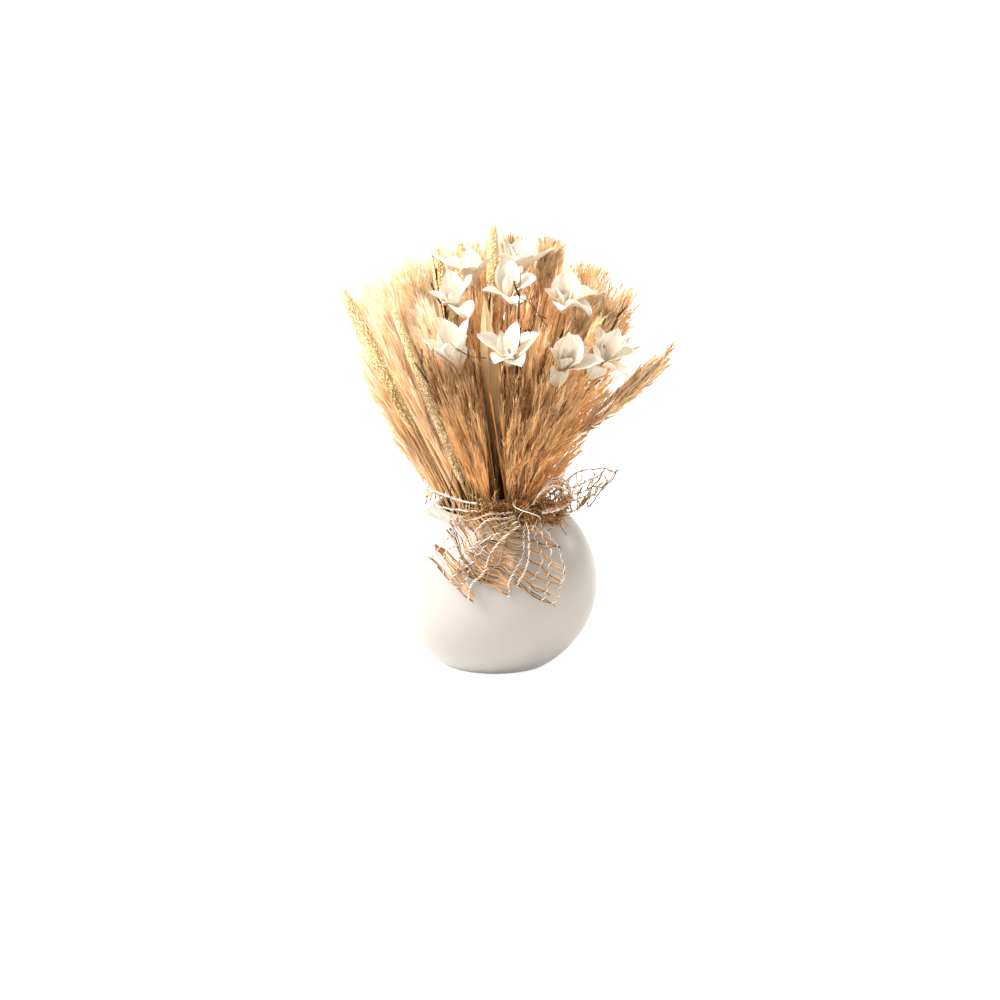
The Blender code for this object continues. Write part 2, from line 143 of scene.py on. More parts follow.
class Pattern:
    """A small shape that is copied many times, with how far each point is along it."""

    def __init__(self, name):
        self.name, self.built = name, bmesh.new()
        self.built.verts.layers.float.new("along")

    def add(self, one, matrix=Matrix(), low=0.0, high=1.0, thickness=1.0):
        """Thickens a unit shape, marks it from low to high, and moves it into place."""
        along = one.verts.layers.float.new("along")
        for vert in one.verts:
            vert[along] = low + (high - low) * vert.co.z
            vert.co = Vector((vert.co.x * thickness, vert.co.y * thickness, vert.co.z))
        bmesh.ops.transform(one, matrix=matrix, verts=one.verts)
        part = mesh_of("part", one)
        self.built.from_mesh(part)
        bpy.data.meshes.remove(part)
        return self

    def mesh(self):
        return mesh_of(self.name, self.built)


class Clump:
    """One piece in the making: bent copies of patterns, each with a chance value of its own."""

    def __init__(self):
        self.built = bmesh.new()
        layers = self.built.verts.layers.float
        layers.new("along")
        self.chance = layers.new("chance")
        self.along = layers["along"]
        self.sources = {}

    def copy(self, pattern, chance):
        """A new copy of the pattern's mesh, still at the pattern's own place; returns its points."""
        if pattern.name not in self.sources:
            before = [len(parts) for parts in (self.built.verts, self.built.edges, self.built.faces)]
            self.built.from_mesh(pattern)
            grown = (self.built.verts, self.built.edges, self.built.faces)
            self.sources[pattern.name] = [
                part for parts, old in zip(grown, before) for part in list(parts)[old:]
            ]
        copied = bmesh.ops.duplicate(self.built, geom=self.sources[pattern.name])["geom"]
        verts = [part for part in copied if isinstance(part, bmesh.types.BMVert)]
        for vert in verts:
            vert[self.chance] = chance
        return verts

    def grow(
        self, pattern, foot, direction,
        size=1.0, bend=Vector(), turn=0.0, chance=0.5, thickness=1.0, tone=None,
    ):
        """A copy grown from its foot in a direction and bent; tone is where on a strand its colour is."""
        axis = direction.normalized()
        side = axis.orthogonal().normalized()
        side.rotate(Matrix.Rotation(turn, 3, axis))
        across = axis.cross(side)
        wide = size * thickness
        for vert in self.copy(pattern, chance):
            x, y, z = vert.co
            reach = z * size
            vert.co = foot + side * (x * wide) + across * (y * wide) + axis * reach + bend * (reach * reach)
            if tone is not None:
                vert[self.along] = tone

    def follow(self, pattern, path, radius, chance=0.5, flat=1.0, taper=None, facing=UP):
        """A copy of a unit strand laid along path(share), its flat side towards facing."""
        rings = {}
        for vert in self.copy(pattern, chance):
            rings.setdefault(round(vert.co.z, 4), []).append(vert)
        for share, ring in rings.items():
            here = path(share)
            ahead = (path(min(share + 0.01, 1.0)) - path(max(share - 0.01, 0.0))).normalized()
            side = ahead.cross(facing)
            side = side.normalized() if side.length > 0.05 else ahead.orthogonal().normalized()
            across = ahead.cross(side)
            wide = radius if taper is None else radius * taper(share)
            for vert in ring:
                vert.co = here + side * (vert.co.x * wide) + across * (vert.co.y * wide * flat)

    def finish(self, name, look, slot, nodes=(), smooth=60.0):
        """The piece as an object in metres, riding on the bouquet's body."""
        parts = [part for source in self.sources.values() for part in source]
        sources = [part for part in parts if isinstance(part, bmesh.types.BMVert)]
        bmesh.ops.delete(self.built, geom=sources, context="VERTS")
        return finished(name, self.built, look, nodes, smooth)


def finished(name, built, look, nodes=(), smooth=60.0):
    """Turns a bmesh in millimetres into a finished piece that stands for these CAD nodes."""
    bmesh.ops.scale(built, vec=(MM, MM, MM), verts=built.verts)
    mesh = mesh_of(name, built)
    mesh.shade_smooth()
    mesh.set_sharp_from_angle(angle=radians(smooth))
    mesh.materials.append(look)
    piece = put_in_scene(name, mesh)
    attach(piece, "root")
    if nodes:
        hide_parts(*nodes)
    return piece


def smooth_path(points):
    """A function that gives the point at a share, 0 to 1, of one smooth curve through these."""
    ends = [points[0] * 2 - points[1]] + list(points) + [points[-1] * 2 - points[-2]]
    spans = len(points) - 1

    def at(share):
        place = min(max(share, 0.0) * spans, spans - 1e-6)
        k = int(place)
        t = place - k
        a, b, c, d = ends[k : k + 4]
        curved = (a * 2 - b * 5 + c * 4 - d) * t**2 + (b * 3 - a - c * 3 + d) * t**3
        return (b * 2 + (c - a) * t + curved) * 0.5

    return at


# ---- where the plants stand


def mean(points):
    return sum(points, Vector()) / len(points)


def node_points(node):
    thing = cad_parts[node]
    return [(thing.matrix_world @ vertex.co) / MM for vertex in thing.data.vertices]


def foot_of(points):
    low = min(point.z for point in points)
    return mean([point for point in points if point.z < low + 0.8])


def plant_line(node):
    """The foot and the tip of a plant, read from its CAD solid."""
    points = node_points(node)
    foot = foot_of(points)
    far = max((point - foot).length for point in points)
    return foot, mean([point for point in points if (point - foot).length > far - 1.2])


def thick_head(node, trim=0.0):
    """A plant with a thick head: its foot, axis and length, and where the head starts and its radius."""
    foot, tip = plant_line(node)
    axis = (tip - foot).normalized()
    points = [point - foot for point in node_points(node)]
    off = [(point - axis * point.dot(axis)).length for point in points]
    radius = max(off) - trim
    start = min(point.dot(axis) for point, away in zip(points, off) if away > radius * 0.5)
    return foot, axis, (tip - foot).length, start, radius


def facing_sides(foot, tip, facing):
    """A plant's axis, and the directions square to it: towards facing and beside that."""
    axis = (tip - foot).normalized()
    front = (facing - axis * facing.dot(axis)).normalized()
    return axis, front, axis.cross(front)


def at_height(foot, tip, height):
    return foot.lerp(tip, (height - foot.z) / (tip.z - foot.z))


def dome_top(foot, tip):
    """Where a plant that grows along this line comes out of the bunch's domed top."""
    height = 190.0
    for _ in range(4):
        there = at_height(foot, tip, height)
        height = 190.0 + 0.28 * there.y - 0.0057 * (there.x**2 + there.y**2)
    return at_height(foot, tip, max(height, tip.z))


def outward(point):
    """The level direction from the bunch's middle through this point."""
    away = Vector((point.x, point.y, 0.0))
    return away.normalized() if away.length > 1e-3 else Vector((0.0, -1.0, 0.0))


def from_the_front(point):
    """The place (across, up) and the depth of a point as the camera looks at the bunch."""
    up = point.z * cos(CAMERA_TILT) + point.y * sin(CAMERA_TILT)
    return Vector((point.x, up)), point.y * cos(CAMERA_TILT) - point.z * sin(CAMERA_TILT)


def too_far(point):
    return point.y > REACH_BACK or point.y < REACH_FRONT or point.x < REACH_LEFT


# What the grass is parted for: the node, where along it that begins, and half its width.
SHOWN = (
    ("millet_far_left", 0.45, 4.0), ("millet_left", 0.12, 2.8), ("millet_top", 0.72, 3.2),
    ("leaf_centre", 0.08, 4.0), ("bunny_tail_top", 0.8, 5.0), ("bunny_tail_right", 0.8, 5.0),
)


def kept_open():
    """What the grass is parted for, as lines seen from the front, and the flowers' middle lines."""
    shown, hearts = [], []
    for node in nodes_named("flower"):
        foot, rim = plant_line(node)
        axis = (rim - foot).normalized()
        low = 20.0 if node == "flower_front_left" else 14.0
        shown.append((rim - axis * low, rim - axis * 3.0, 8.4))
        hearts.append((rim - axis * 16.0, rim))
    for node, share, width in SHOWN:
        foot, tip = plant_line(node)
        shown.append((foot.lerp(tip, share), tip, width))
    return [(*from_the_front(start), *from_the_front(end), width) for start, end, width in shown], hearts


def nearest(point, start, end):
    """The share of a line where it is nearest to a point, and how far away that is."""
    line = end - start
    share = min(1.0, max(0.0, (point - start).dot(line) / line.length_squared))
    return share, (point - start - line * share).length


def runs_into(points, hearts):
    """Whether any of the points would be inside a flower."""
    near = (nearest(point, start, end) for point in points for start, end in hearts)
    return any(away < 3.0 + 5.5 * share for share, away in near)


def hides(points, shown):
    """Whether any of the points would stand in front of one of the shown pieces."""
    for point in points:
        here, depth = from_the_front(point)
        for start, start_depth, end, end_depth, width in shown:
            share, away = nearest(here, start, end)
            if away < width and depth < start_depth + (end_depth - start_depth) * share:
                return True
    return False


# ---- finishes


def feed(tree, node, inputs):
    """Links the inputs that are given a socket and sets the others; a tuple is a colour."""
    for key, value in inputs.items():
        if isinstance(value, bpy.types.NodeSocket):
            tree.links.new(value, node.inputs[key])
        else:
            node.inputs[key].default_value = (*value, 1.0) if isinstance(value, tuple) else value


def add_node(tree, kind, inputs=None, **settings):
    """A new shader node; returns its outputs."""
    node = tree.nodes.new("ShaderNode" + kind)
    for key, value in settings.items():
        setattr(node, key, value)
    feed(tree, node, inputs or {})
    return node.outputs


def place_in(tree):
    return add_node(tree, "TexCoord")["Object"]


def attribute(tree, name):
    return add_node(tree, "Attribute", attribute_name=name)["Fac"]


def noise_at(tree, place, scale, detail):
    return add_node(tree, "TexNoise", {"Vector": place, "Scale": scale, "Detail": detail})["Fac"]


def mixed(tree, factor, first, second):
    return add_node(tree, "Mix", {"Factor": factor, 6: first, 7: second}, data_type="RGBA")[2]


def ranged(tree, value, low, high, to_low=0.0, to_high=1.0, interpolation="LINEAR"):
    inputs = {"Value": value, "From Min": low, "From Max": high, "To Min": to_low, "To Max": to_high}
    return add_node(tree, "MapRange", inputs, interpolation_type=interpolation)["Result"]


def worked_out(tree, operation, first, second):
    return add_node(tree, "Math", {0: first, 1: second}, operation=operation)[0]


def bumped(tree, height, distance, strength):
    return add_node(tree, "Bump", {"Height": height, "Distance": distance, "Strength": strength})["Normal"]


def dried_plant_group():
    """Colour of a dried strand: dark at the root, full in the middle, pale at the tip, none quite alike."""
    group = bpy.data.node_groups.new("dried_plant", "ShaderNodeTree")
    colour, number = "NodeSocketColor", "NodeSocketFloat"
    sockets = [(name, "INPUT", colour) for name in ("Root", "Middle", "Tip", "Odd Strand")]
    sockets += [(name, "INPUT", number) for name in ("Odd Share", "Pale Low")]
    for name, way, kind in sockets + [("Color", "OUTPUT", colour), ("Height", "OUTPUT", number)]:
        group.interface.new_socket(name=name, in_out=way, socket_type=kind)
    given = group.nodes.new("NodeGroupInput").outputs
    along, chance, place = attribute(group, "along"), attribute(group, "chance"), place_in(group)
    lower = mixed(group, ranged(group, along, 0.0, 0.45), given["Root"], given["Middle"])
    height = add_node(group, "SeparateXYZ", {0: place})["Z"]
    # Tips turn fully pale only high in the bunch; lower down, by Pale Low, they keep more of the middle
    # colour.
    height_paling = ranged(group, height, 0.105, 0.18, given["Pale Low"])
    paled = worked_out(group, "MULTIPLY", ranged(group, along, 0.45, 1.0), height_paling)
    whole = mixed(group, paled, lower, given["Tip"])
    odd = worked_out(group, "GREATER_THAN", given["Odd Share"], chance)
    chosen = mixed(group, odd, whole, given["Odd Strand"])
    patchy = ranged(group, noise_at(group, place, 90.0, 3.0), 0.3, 0.7, 0.86, 1.1)
    level = worked_out(group, "MULTIPLY", ranged(group, chance, 0.0, 1.0, 0.5, 1.3), patchy)
    coloured = add_node(group, "VectorMath", {0: chosen, "Scale": level}, operation="SCALE")[0]
    put = group.nodes.new("NodeGroupOutput")
    feed(group, put, {"Color": coloured, "Height": noise_at(group, place, 900.0, 2.0)})
    return group


def plain_material(name, roughness, specular=0.35):
    look = bpy.data.materials.new(name)
    look.use_nodes = True
    shader = look.node_tree.nodes["Principled BSDF"]
    feed(look.node_tree, shader, {"Roughness": roughness, "Specular IOR Level": specular})
    return look, look.node_tree, shader


# Each dried finish: a strand's colour at its root, middle and tip, and an odd strand's; the share of odd
# ones; then, where they aren't the usual ones, how pale the tips stay low in the bunch and the roughness.
DRIED_FINISHES = {
    "reed_grass": ((0.50, 0.22, 0.075), (0.92, 0.53, 0.21), (1.0, 0.90, 0.66), (0.40, 0.17, 0.05), 0.25, 0.4),
    # The front grasses' finish is darker and more golden: partly their own colour, partly painted shade under
    # the flowers.
    "tawny_grass": ((0.56, 0.26, 0.09), (0.82, 0.44, 0.16), (1.0, 0.80, 0.50), (0.33, 0.13, 0.035), 0.27, 0.5),
    "pale_feather_grass": (
        (0.90, 0.55, 0.26), (1.0, 0.70, 0.40), (1.0, 0.97, 0.87), (0.72, 0.38, 0.15), 0.2, 0.6,
    ),
    "bare_straw": ((0.26, 0.19, 0.07), (0.56, 0.40, 0.17), (0.74, 0.55, 0.28), (0.34, 0.28, 0.11), 0.4),
    # The inner stems are real but painted very dark: painted shade between the grasses.
    "shade_dark_straw": ((0.16, 0.07, 0.025), (0.34, 0.15, 0.05), (0.55, 0.28, 0.11), (0.12, 0.05, 0.02), 0.3),
    "pale_reed": ((0.76, 0.42, 0.18), (1.0, 0.66, 0.35), (1.0, 0.88, 0.62), (0.62, 0.33, 0.13), 0.2),
    "millet": ((0.95, 0.70, 0.36), (1.0, 0.83, 0.50), (1.0, 0.92, 0.66), (0.94, 0.68, 0.34), 0.49),
    "bunny_tail": ((0.84, 0.50, 0.24), (1.0, 0.76, 0.46), (1.0, 0.92, 0.72), (0.90, 0.60, 0.32), 0.15),
    "dry_leaf": ((0.62, 0.39, 0.15), (0.86, 0.59, 0.28), (1.0, 0.80, 0.48), (0.66, 0.42, 0.17), 0.0),
    "twig": ((0.06, 0.03, 0.018), (0.12, 0.06, 0.035), (0.22, 0.11, 0.06), (0.10, 0.05, 0.03), 0.2),
    "jute": ((0.45, 0.24, 0.10), (0.62, 0.365, 0.18), (0.76, 0.49, 0.27), (0.34, 0.165, 0.065), 0.2, 1.0, 0.9),
    # The knot's jute: the same jute painted darker, as painted shade of its dense windings.
    "knot_jute_shaded": (
        (0.40, 0.19, 0.07), (0.56, 0.29, 0.115), (0.70, 0.42, 0.21), (0.27, 0.12, 0.04), 0.2, 1.0, 0.9,
    ),
    "cotton_thread": (
        (0.86, 0.79, 0.70), (0.88, 0.82, 0.74), (0.90, 0.85, 0.78), (0.74, 0.62, 0.48), 0.2, 1.0, 0.9,
    ),
}


def dried_material(group, name, root, middle, tip, odd, odd_share, pale_low=1.0, roughness=0.75):
    look, tree, shader = plain_material(name, roughness, specular=0.15)
    inputs = {"Root": root, "Middle": middle, "Tip": tip, "Odd Strand": odd, "Odd Share": odd_share}
    inputs["Pale Low"] = pale_low
    strand_colour = add_node(tree, "Group", inputs, node_tree=group)
    fibres = bumped(tree, strand_colour["Height"], 0.0001, 0.6)
    feed(tree, shader, {"Base Color": strand_colour["Color"], "Normal": fibres})
    return look


def ceramic_material():
    """Matt white glaze with a faint warm mottle and a barely uneven surface."""
    look, tree, shader = plain_material("white_ceramic", 0.36, specular=0.5)
    place = place_in(tree)
    mottle = noise_at(tree, place, 38.0, 4.0)
    colour = mixed(tree, mottle, (0.485, 0.462, 0.434), (0.525, 0.502, 0.474))
    ripple = bumped(tree, noise_at(tree, place, 60.0, 2.0), 0.0001, 0.25)
    rough = ranged(tree, mottle, 0.0, 1.0, 0.33, 0.42)
    feed(tree, shader, {"Base Color": colour, "Roughness": rough, "Normal": ripple})
    return look


def bisque_material():
    """The unglazed clay of the foot."""
    look, tree, shader = plain_material("unglazed_clay", 0.9)
    grit = noise_at(tree, place_in(tree), 900.0, 3.0)
    colour = mixed(tree, grit, (0.55, 0.50, 0.43), (0.70, 0.66, 0.60))
    feed(tree, shader, {"Base Color": colour, "Normal": bumped(tree, grit, 0.0001, 0.5)})
    return look


def shaved_wood_material():
    """Pale wood shaving: nearly white at the edge, with fine straight grain, and painted warm shade near the
    heart.
    """
    look, tree, shader = plain_material("shaved_wood", 0.62)
    shader.inputs["Subsurface Weight"].default_value = 0.25
    shader.inputs["Subsurface Radius"].default_value = (1.0, 0.9, 0.75)
    shader.inputs["Subsurface Scale"].default_value = 0.0008
    along = attribute(tree, "along")
    across = {"W": attribute(tree, "chance"), "Scale": 13.0, "Detail": 3.0}
    grain = add_node(tree, "TexNoise", across, noise_dimensions="1D")["Fac"]
    # The warm, darker colour near the heart is painted shade of the creases there.
    warm = mixed(tree, ranged(tree, along, 0.05, 0.6), (0.99, 0.70, 0.42), (1.0, 0.94, 0.82))
    grained = mixed(tree, ranged(tree, grain, 0.35, 0.65, 0.0, 0.3), warm, (0.96, 0.82, 0.62))
    whole = mixed(tree, ranged(tree, along, -0.3, -0.05), (0.36, 0.20, 0.08), grained)
    feed(tree, shader, {"Base Color": whole, "Normal": bumped(tree, grain, 0.0005, 0.8)})
    return look


# ---- vase

VASE_RADIUS = (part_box("vase")[1][0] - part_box("vase")[0][0]) / 2 / MM
VASE_HALF_HEIGHT = 44.7
VASE_CENTRE_Z = 38.0
VASE_WALL = 3.5
VASE_FLOOR_Z = 5.0
VASE_STEPS = 144


def wall_angle(height):
    return asin((height - VASE_CENTRE_Z) / VASE_HALF_HEIGHT)


def wall_point(angle):
    """A point of the vase's outer side, and the way out from it."""
    point = Vector((VASE_RADIUS * cos(angle), VASE_CENTRE_Z + VASE_HALF_HEIGHT * sin(angle)))
    return point, Vector((cos(angle) / VASE_RADIUS, sin(angle) / VASE_HALF_HEIGHT)).normalized()


def build_vase():
    foot_angle, rim_angle = wall_angle(0.3), wall_angle(RIM_Z - 0.35)
    floor_angle = wall_angle(VASE_FLOOR_Z + VASE_WALL * 0.8)
    foot_radius = wall_point(foot_angle)[0].x
    profile = [Vector((0.0, 0.0)), Vector((foot_radius * 0.5, 0.0)), Vector((foot_radius - 0.5, 0.0))]
    profile += [wall_point(foot_angle + (rim_angle - foot_angle) * i / 40)[0] for i in range(41)]
    rim, normal = wall_point(rim_angle)
    upwards = Vector((-normal.y, normal.x))
    middle = rim - normal * VASE_WALL / 2
    profile += [middle + spoke(normal, upwards, pi * i / 10) * VASE_WALL / 2 for i in range(1, 10)]
    for i in range(25):
        point, normal = wall_point(rim_angle + (floor_angle - rim_angle) * i / 24)
        profile.append(point - normal * VASE_WALL)
    profile += [Vector((profile[-1].x - 3.0, VASE_FLOOR_Z)), Vector((0.0, VASE_FLOOR_Z))]
    built = bmesh.new()
    corners = [built.verts.new((point.x, 0.0, point.y)) for point in profile]
    edges = [built.edges.new(pair) for pair in zip(corners, corners[1:])]
    bmesh.ops.spin(
        built, geom=corners + edges, cent=(0.0, 0.0, 0.0), axis=(0.0, 0.0, 1.0), angle=tau, steps=VASE_STEPS,
        use_merge=True,
    )
    bmesh.ops.remove_doubles(built, verts=built.verts, dist=0.005)
    bmesh.ops.recalc_face_normals(built, faces=built.faces)
    for face in built.faces:
        if face.calc_center_median().z < 0.05:
            face.material_index = 1
    vase = finished("ceramic_vase", built, ceramic_material(), ["vase"], smooth=35.0)
    vase.data.materials.append(bisque_material())


# ---- grasses

# How far from its stem a grass head's branches start, low and high in the head.
HEAD_NARROW, HEAD_WIDE = 8.0, 13.0
PLUME_LEAVES_Z = 106.0
# Each side spray of the leaning plume: where it leaves the stem and how far it goes along it, as shares
# of the stem, then how far it drops below it and comes forward.
PLUME_SPRAYS = (
    (0.52, 0.30, 1.0, -5.0), (0.56, 0.33, -4.0, 3.0), (0.58, 0.36, 6.0, -3.0),
    (0.64, 0.33, 5.0, 2.0), (0.66, 0.24, -5.0, -2.0), (0.70, 0.27, 3.5, -3.0),
)


def one_shape(name, one, *how):
    return Pattern(name).add(one, *how).mesh()


def level(turn):
    return Vector((cos(turn), sin(turn), 0.0))


def reed_branchlet(seed):
    """A side branch of reed: a thin stalk with slim spikelets all up it, some of them with an awn."""
    rng = random.Random(seed)
    length = 18.0
    pattern = Pattern(f"reed_branchlet_{seed}").add(strand(3, 1), tall(length), 0.0, 0.4, 0.17)
    for i in range(8):
        lean = radians(rng.uniform(4, 15))
        turn = i * GOLDEN_TURN * 1.6 + rng.uniform(-0.5, 0.5)
        grain_length = rng.uniform(5.0, 8.6)
        raised = raised_by(length * (0.08 + 0.11 * i)) @ leaning(turn, lean)
        pattern.add(spindle(), raised @ tall(grain_length, 0.62), 0.4, 0.95, rng.uniform(0.26, 0.42))
        if i % 3 == 1:
            pattern.add(spindle(), raised @ raised_by(grain_length * 0.8) @ tall(4.5), 0.8, 1.0, 0.09)
    return pattern.mesh()


def feather_tuft(seed):
    """A tuft of feather grass: long fine hairs from one point, a few of them with a slim spikelet."""
    rng = random.Random(seed)
    pattern = Pattern(f"feather_tuft_{seed}")
    for i in range(10):
        spread = leaning(i * GOLDEN_TURN, radians(rng.uniform(0.5, 6.0)))
        length = rng.uniform(16.0, 29.0)
        pattern.add(spindle(), spread @ tall(length), 0.0, 1.0, rng.uniform(0.15, 0.25))
        if i % 3 == 1:
            slim = spread @ raised_by(length * rng.uniform(0.5, 0.8), x=0.2)
            slim = slim @ Matrix.Rotation(radians(rng.uniform(-12, 12)), 4, "Y") @ tall(5.0, 0.6)
            pattern.add(spindle(), slim, 0.6, 1.0, 0.28)
    return pattern.mesh()


def build_grass(node, seed, patterns, stem, look, slot, count, lean, tones, shown, hearts):
    """A head of side branches round its stem, from the vase's mouth to the tip.

    lean is (low, high) in degrees from the stem; tones is how light the branches are at the mouth, and how
    much that grows to the top, which at the front of the bunch paints shade high up and light low down.
    """
    rng = random.Random(seed)
    foot, tip = plant_line(node)
    tip = dome_top(foot, tip)
    whole = (tip - foot).length
    axis, side, across = facing_sides(foot, tip, outward(tip))
    neck = at_height(foot, tip, NECK_Z)
    head = (tip - neck).length
    fan = Vector((0.016 if slot == "reed_grass" else 0.0, 0.0, 0.0))
    clump = Clump()
    clump.grow(stem, foot, axis, whole * 0.94, chance=0.5, thickness=0.55 / whole, tone=0.2)
    for i in range(5):
        direction = spoke(side, across, i * 1.257)
        start = neck + direction * HEAD_NARROW * 0.6 - axis * 4.0
        end = tip - axis * (14.0 + 5.0 * i) + direction * HEAD_WIDE * 0.6
        reach = (end - start).length
        clump.grow(stem, start, end - start, reach, chance=rng.random(), thickness=0.34 / reach, tone=0.2)
    for i in range(count):
        share = ((i + rng.random()) / count) ** 0.8
        turn = i * GOLDEN_TURN + rng.uniform(-0.3, 0.3)
        direction = spoke(side, across, turn - 0.35 * sin(turn))
        reach = rng.uniform(0.8, 1.15)
        wide = HEAD_NARROW + (HEAD_WIDE - HEAD_NARROW) * share
        wide *= sqrt(rng.random()) * min(1.0, 2.2 * (1.12 - share))
        base = neck + axis * ((head - 17.0 * reach) * share) + direction * wide
        angle = radians(rng.uniform(*lean)) * (2.2 if rng.random() < 0.15 else 1.0)
        grown = spoke(axis, direction, angle) + fan * max(0.0, base.x) * (1.0 - share)
        bend = side * rng.uniform(-0.001, 0.003) - direction * rng.uniform(0.0, 0.004)
        reached = [base + grown * (17.0 * reach * part) for part in (0.35, 0.7, 1.1)]
        if hides(reached, shown) or runs_into(reached, hearts) or too_far(base + grown * (26.0 * reach)):
            continue
        branch, turned = rng.choice(patterns), rng.uniform(0, tau)
        # How light a branch is; at the front of the bunch this is painted shade high up and painted light low
        # down.
        chance = min(1.0, max(0.0, tones[0] + tones[1] * share + 0.62 * rng.random()))
        clump.grow(branch, base, grown, reach, bend=bend, turn=turned, chance=chance)
    clump.finish(node + "_head", look, slot, [node])


def build_grasses(looks, stem):
    reeds = [reed_branchlet(seed) for seed in range(5)]
    tufts = [feather_tuft(seed) for seed in range(5)]
    shown, hearts = kept_open()
    for kind, seed, patterns, usual, count, lean in (
        ("reed_grass", 100, reeds, "reed_grass", 300, (4, 17)),
        ("feather_grass", 200, tufts, "pale_feather_grass", 290, (2, 13)),
    ):
        for i, node in enumerate(nodes_named(kind)):
            at_front = plant_line(node)[1].y < -38.0
            # Front grasses of both kinds: painted shade high up under the flowers, painted light low down
            # where they bulge forward.
            look, tones = ("tawny_grass", (0.62, -0.7)) if at_front else (usual, (0.24, 0.2))
            build_grass(node, seed + i, patterns, stem, looks[look], kind, count, lean, tones, shown, hearts)
    return reeds, shown, hearts


def build_straws(looks, stem, shown, hearts):
    """Bare straws at the front of the bunch, and very dark ones in its middle, between the grasses: real stems
    whose dark colour is painted shade.
    """
    rng = random.Random(77)

    def add_straw(clump, start, grown, reach, parts, avoided, sway, bow, thick):
        """One straw, unless it would cover a shown piece or run into an avoided one."""
        places = [start + grown.normalized() * reach * part for part in parts]
        if hides(places, shown) or runs_into(places, avoided):
            return
        bend = Vector((rng.gauss(0.0, sway), rng.uniform(-bow, bow), 0.0))
        clump.grow(
            stem, start, grown, reach,
            bend=bend, chance=rng.random(), thickness=rng.uniform(*thick) / reach,
        )

    clump = Clump()
    for _ in range(60):
        away = level(radians(rng.gauss(258.0, 15.0)))
        start = away * rng.uniform(25.0, 31.0) + UP * NECK_Z
        grown = UP * 100.0 + away * rng.uniform(22.0, 36.0) + Vector((rng.gauss(0.0, 5.0), 0.0, 0.0))
        reach = rng.uniform(22.0, 56.0)
        add_straw(clump, start, grown, reach, (0.5, 0.75, 1.0), (), 0.0012, 0.001, (0.22, 0.42))
    clump.finish("bare_straws", looks["bare_straw"], "reed_grass")
    # Stems in the middle of the bunch, very dark as painted shade between the grasses.
    clump = Clump()
    count = 90
    for i in range(count):
        away = level(i * GOLDEN_TURN)
        share = sqrt((i + 0.5) / count)
        start = away * (20.0 * share) + UP * NECK_Z
        grown = UP * 100.0 + away * (30.0 * share) + Vector((0.0, rng.uniform(-4.0, 4.0), 0.0))
        reach = rng.uniform(72.0, 96.0)
        add_straw(clump, start, grown, reach, (0.5, 0.7, 0.85, 1.0), hearts, 0.0006, 0.0006, (0.5, 0.9))
    clump.finish("inner_straws", looks["shade_dark_straw"], "reed_grass")


def build_leaning_plume(look, reeds, stem):
    """The reed plume that bends out of the bunch: slim sprays that leave one stem, each combed to its tip."""
    rng = random.Random(31)
    points = node_points("leaning_plume")
    foot = foot_of(points)
    far = max(points, key=lambda point: point.x) + Vector((-0.8, 0.0, 2.0))
    leave = mean([point for point in points if abs(point.z - PLUME_LEAVES_Z) < 2.5])
    middle = (leave + far) / 2 + Vector((2.0, 0.0, -2.5))
    path = smooth_path([foot, foot.lerp(leave, 0.6), leave, middle, far])
    clump = Clump()
    clump.follow(stem, path, 0.6)
    sprays = [(path(0.62), path(0.84), far)]
    for start, reach, drop, near in PLUME_SPRAYS:
        root = path(start)
        end = path(min(1.0, start + reach)) + Vector((0.0, near, -drop))
        sprays.append((root, root.lerp(end, 0.5) + Vector((0.5, near * 0.3, -drop * 0.12)), end))
    for spray in sprays:
        line = smooth_path(list(spray))
        count = int((spray[2] - spray[0]).length * 1.4)
        clump.follow(stem, line, 0.3)
        for i in range(count):
            share = 0.12 + 0.72 * (i + rng.random()) / count
            here = line(share)
            axis = (line(share + 0.03) - here).normalized()
            side = axis.orthogonal().normalized()
            side.rotate(Matrix.Rotation(i * GOLDEN_TURN, 3, axis))
            grown = spoke(axis, side, radians(rng.uniform(4, 22)))
            branch, size = rng.choice(reeds), rng.uniform(0.45, 0.7) * (1.15 - 0.4 * share)
            turned = rng.uniform(0, tau)
            clump.grow(branch, here, grown, size, bend=-side * 0.004, turn=turned, chance=rng.random())
    clump.finish("leaning_plume_head", look, "reed_grass", ["leaning_plume"])


# ---- millet and bunny tails


def build_millet(node, seed, stem, grain, bristle, look):
    """A spike packed with round grains in a spiral, with short bristles between them."""
    rng = random.Random(seed)
    foot, axis, whole, start, radius = thick_head(node, trim=0.2)
    length = whole - start
    side, across = square_to(axis)
    clump = Clump()
    clump.grow(stem, foot, axis, whole - 1.0, chance=0.6, thickness=0.65 / whole)

    def fullness(share):
        return min(1.0, (share * 7.0) ** 0.5, 0.28 + ((1.0 - share) * 2.4) ** 0.7) * (
            1 + 0.05 * sin(share * 30)
        )

    for vert in clump.copy(stem, 0.6):
        share = vert.co.z
        wide = (radius - 0.7) * fullness(share)
        vert.co = (
            foot + axis * (start + length * share * 0.99) + (side * vert.co.x + across * vert.co.y) * wide
        )
    count = int(length * tau * radius * 0.8 / 1.3)
    for i in range(count):
        share = (i + 0.5) / count
        direction = spoke(side, across, i * GOLDEN_TURN + rng.uniform(-0.15, 0.15))
        base = foot + axis * (start + length * share) + direction * (radius - 0.75) * fullness(share)
        grown = (direction + axis * rng.uniform(0.3, 0.9)).normalized()
        size, turned, tone = rng.uniform(0.42, 0.68), rng.uniform(0, 6), 0.42 + 0.5 * rng.random()
        clump.grow(grain, base, grown, size, turn=turned, chance=tone)
        clump.grow(bristle, base, grown + axis * 0.9, rng.uniform(0.8, 1.6), chance=0.42 + 0.5 * rng.random())
    clump.finish(node + "_spike", look, "millet_spike", [node])


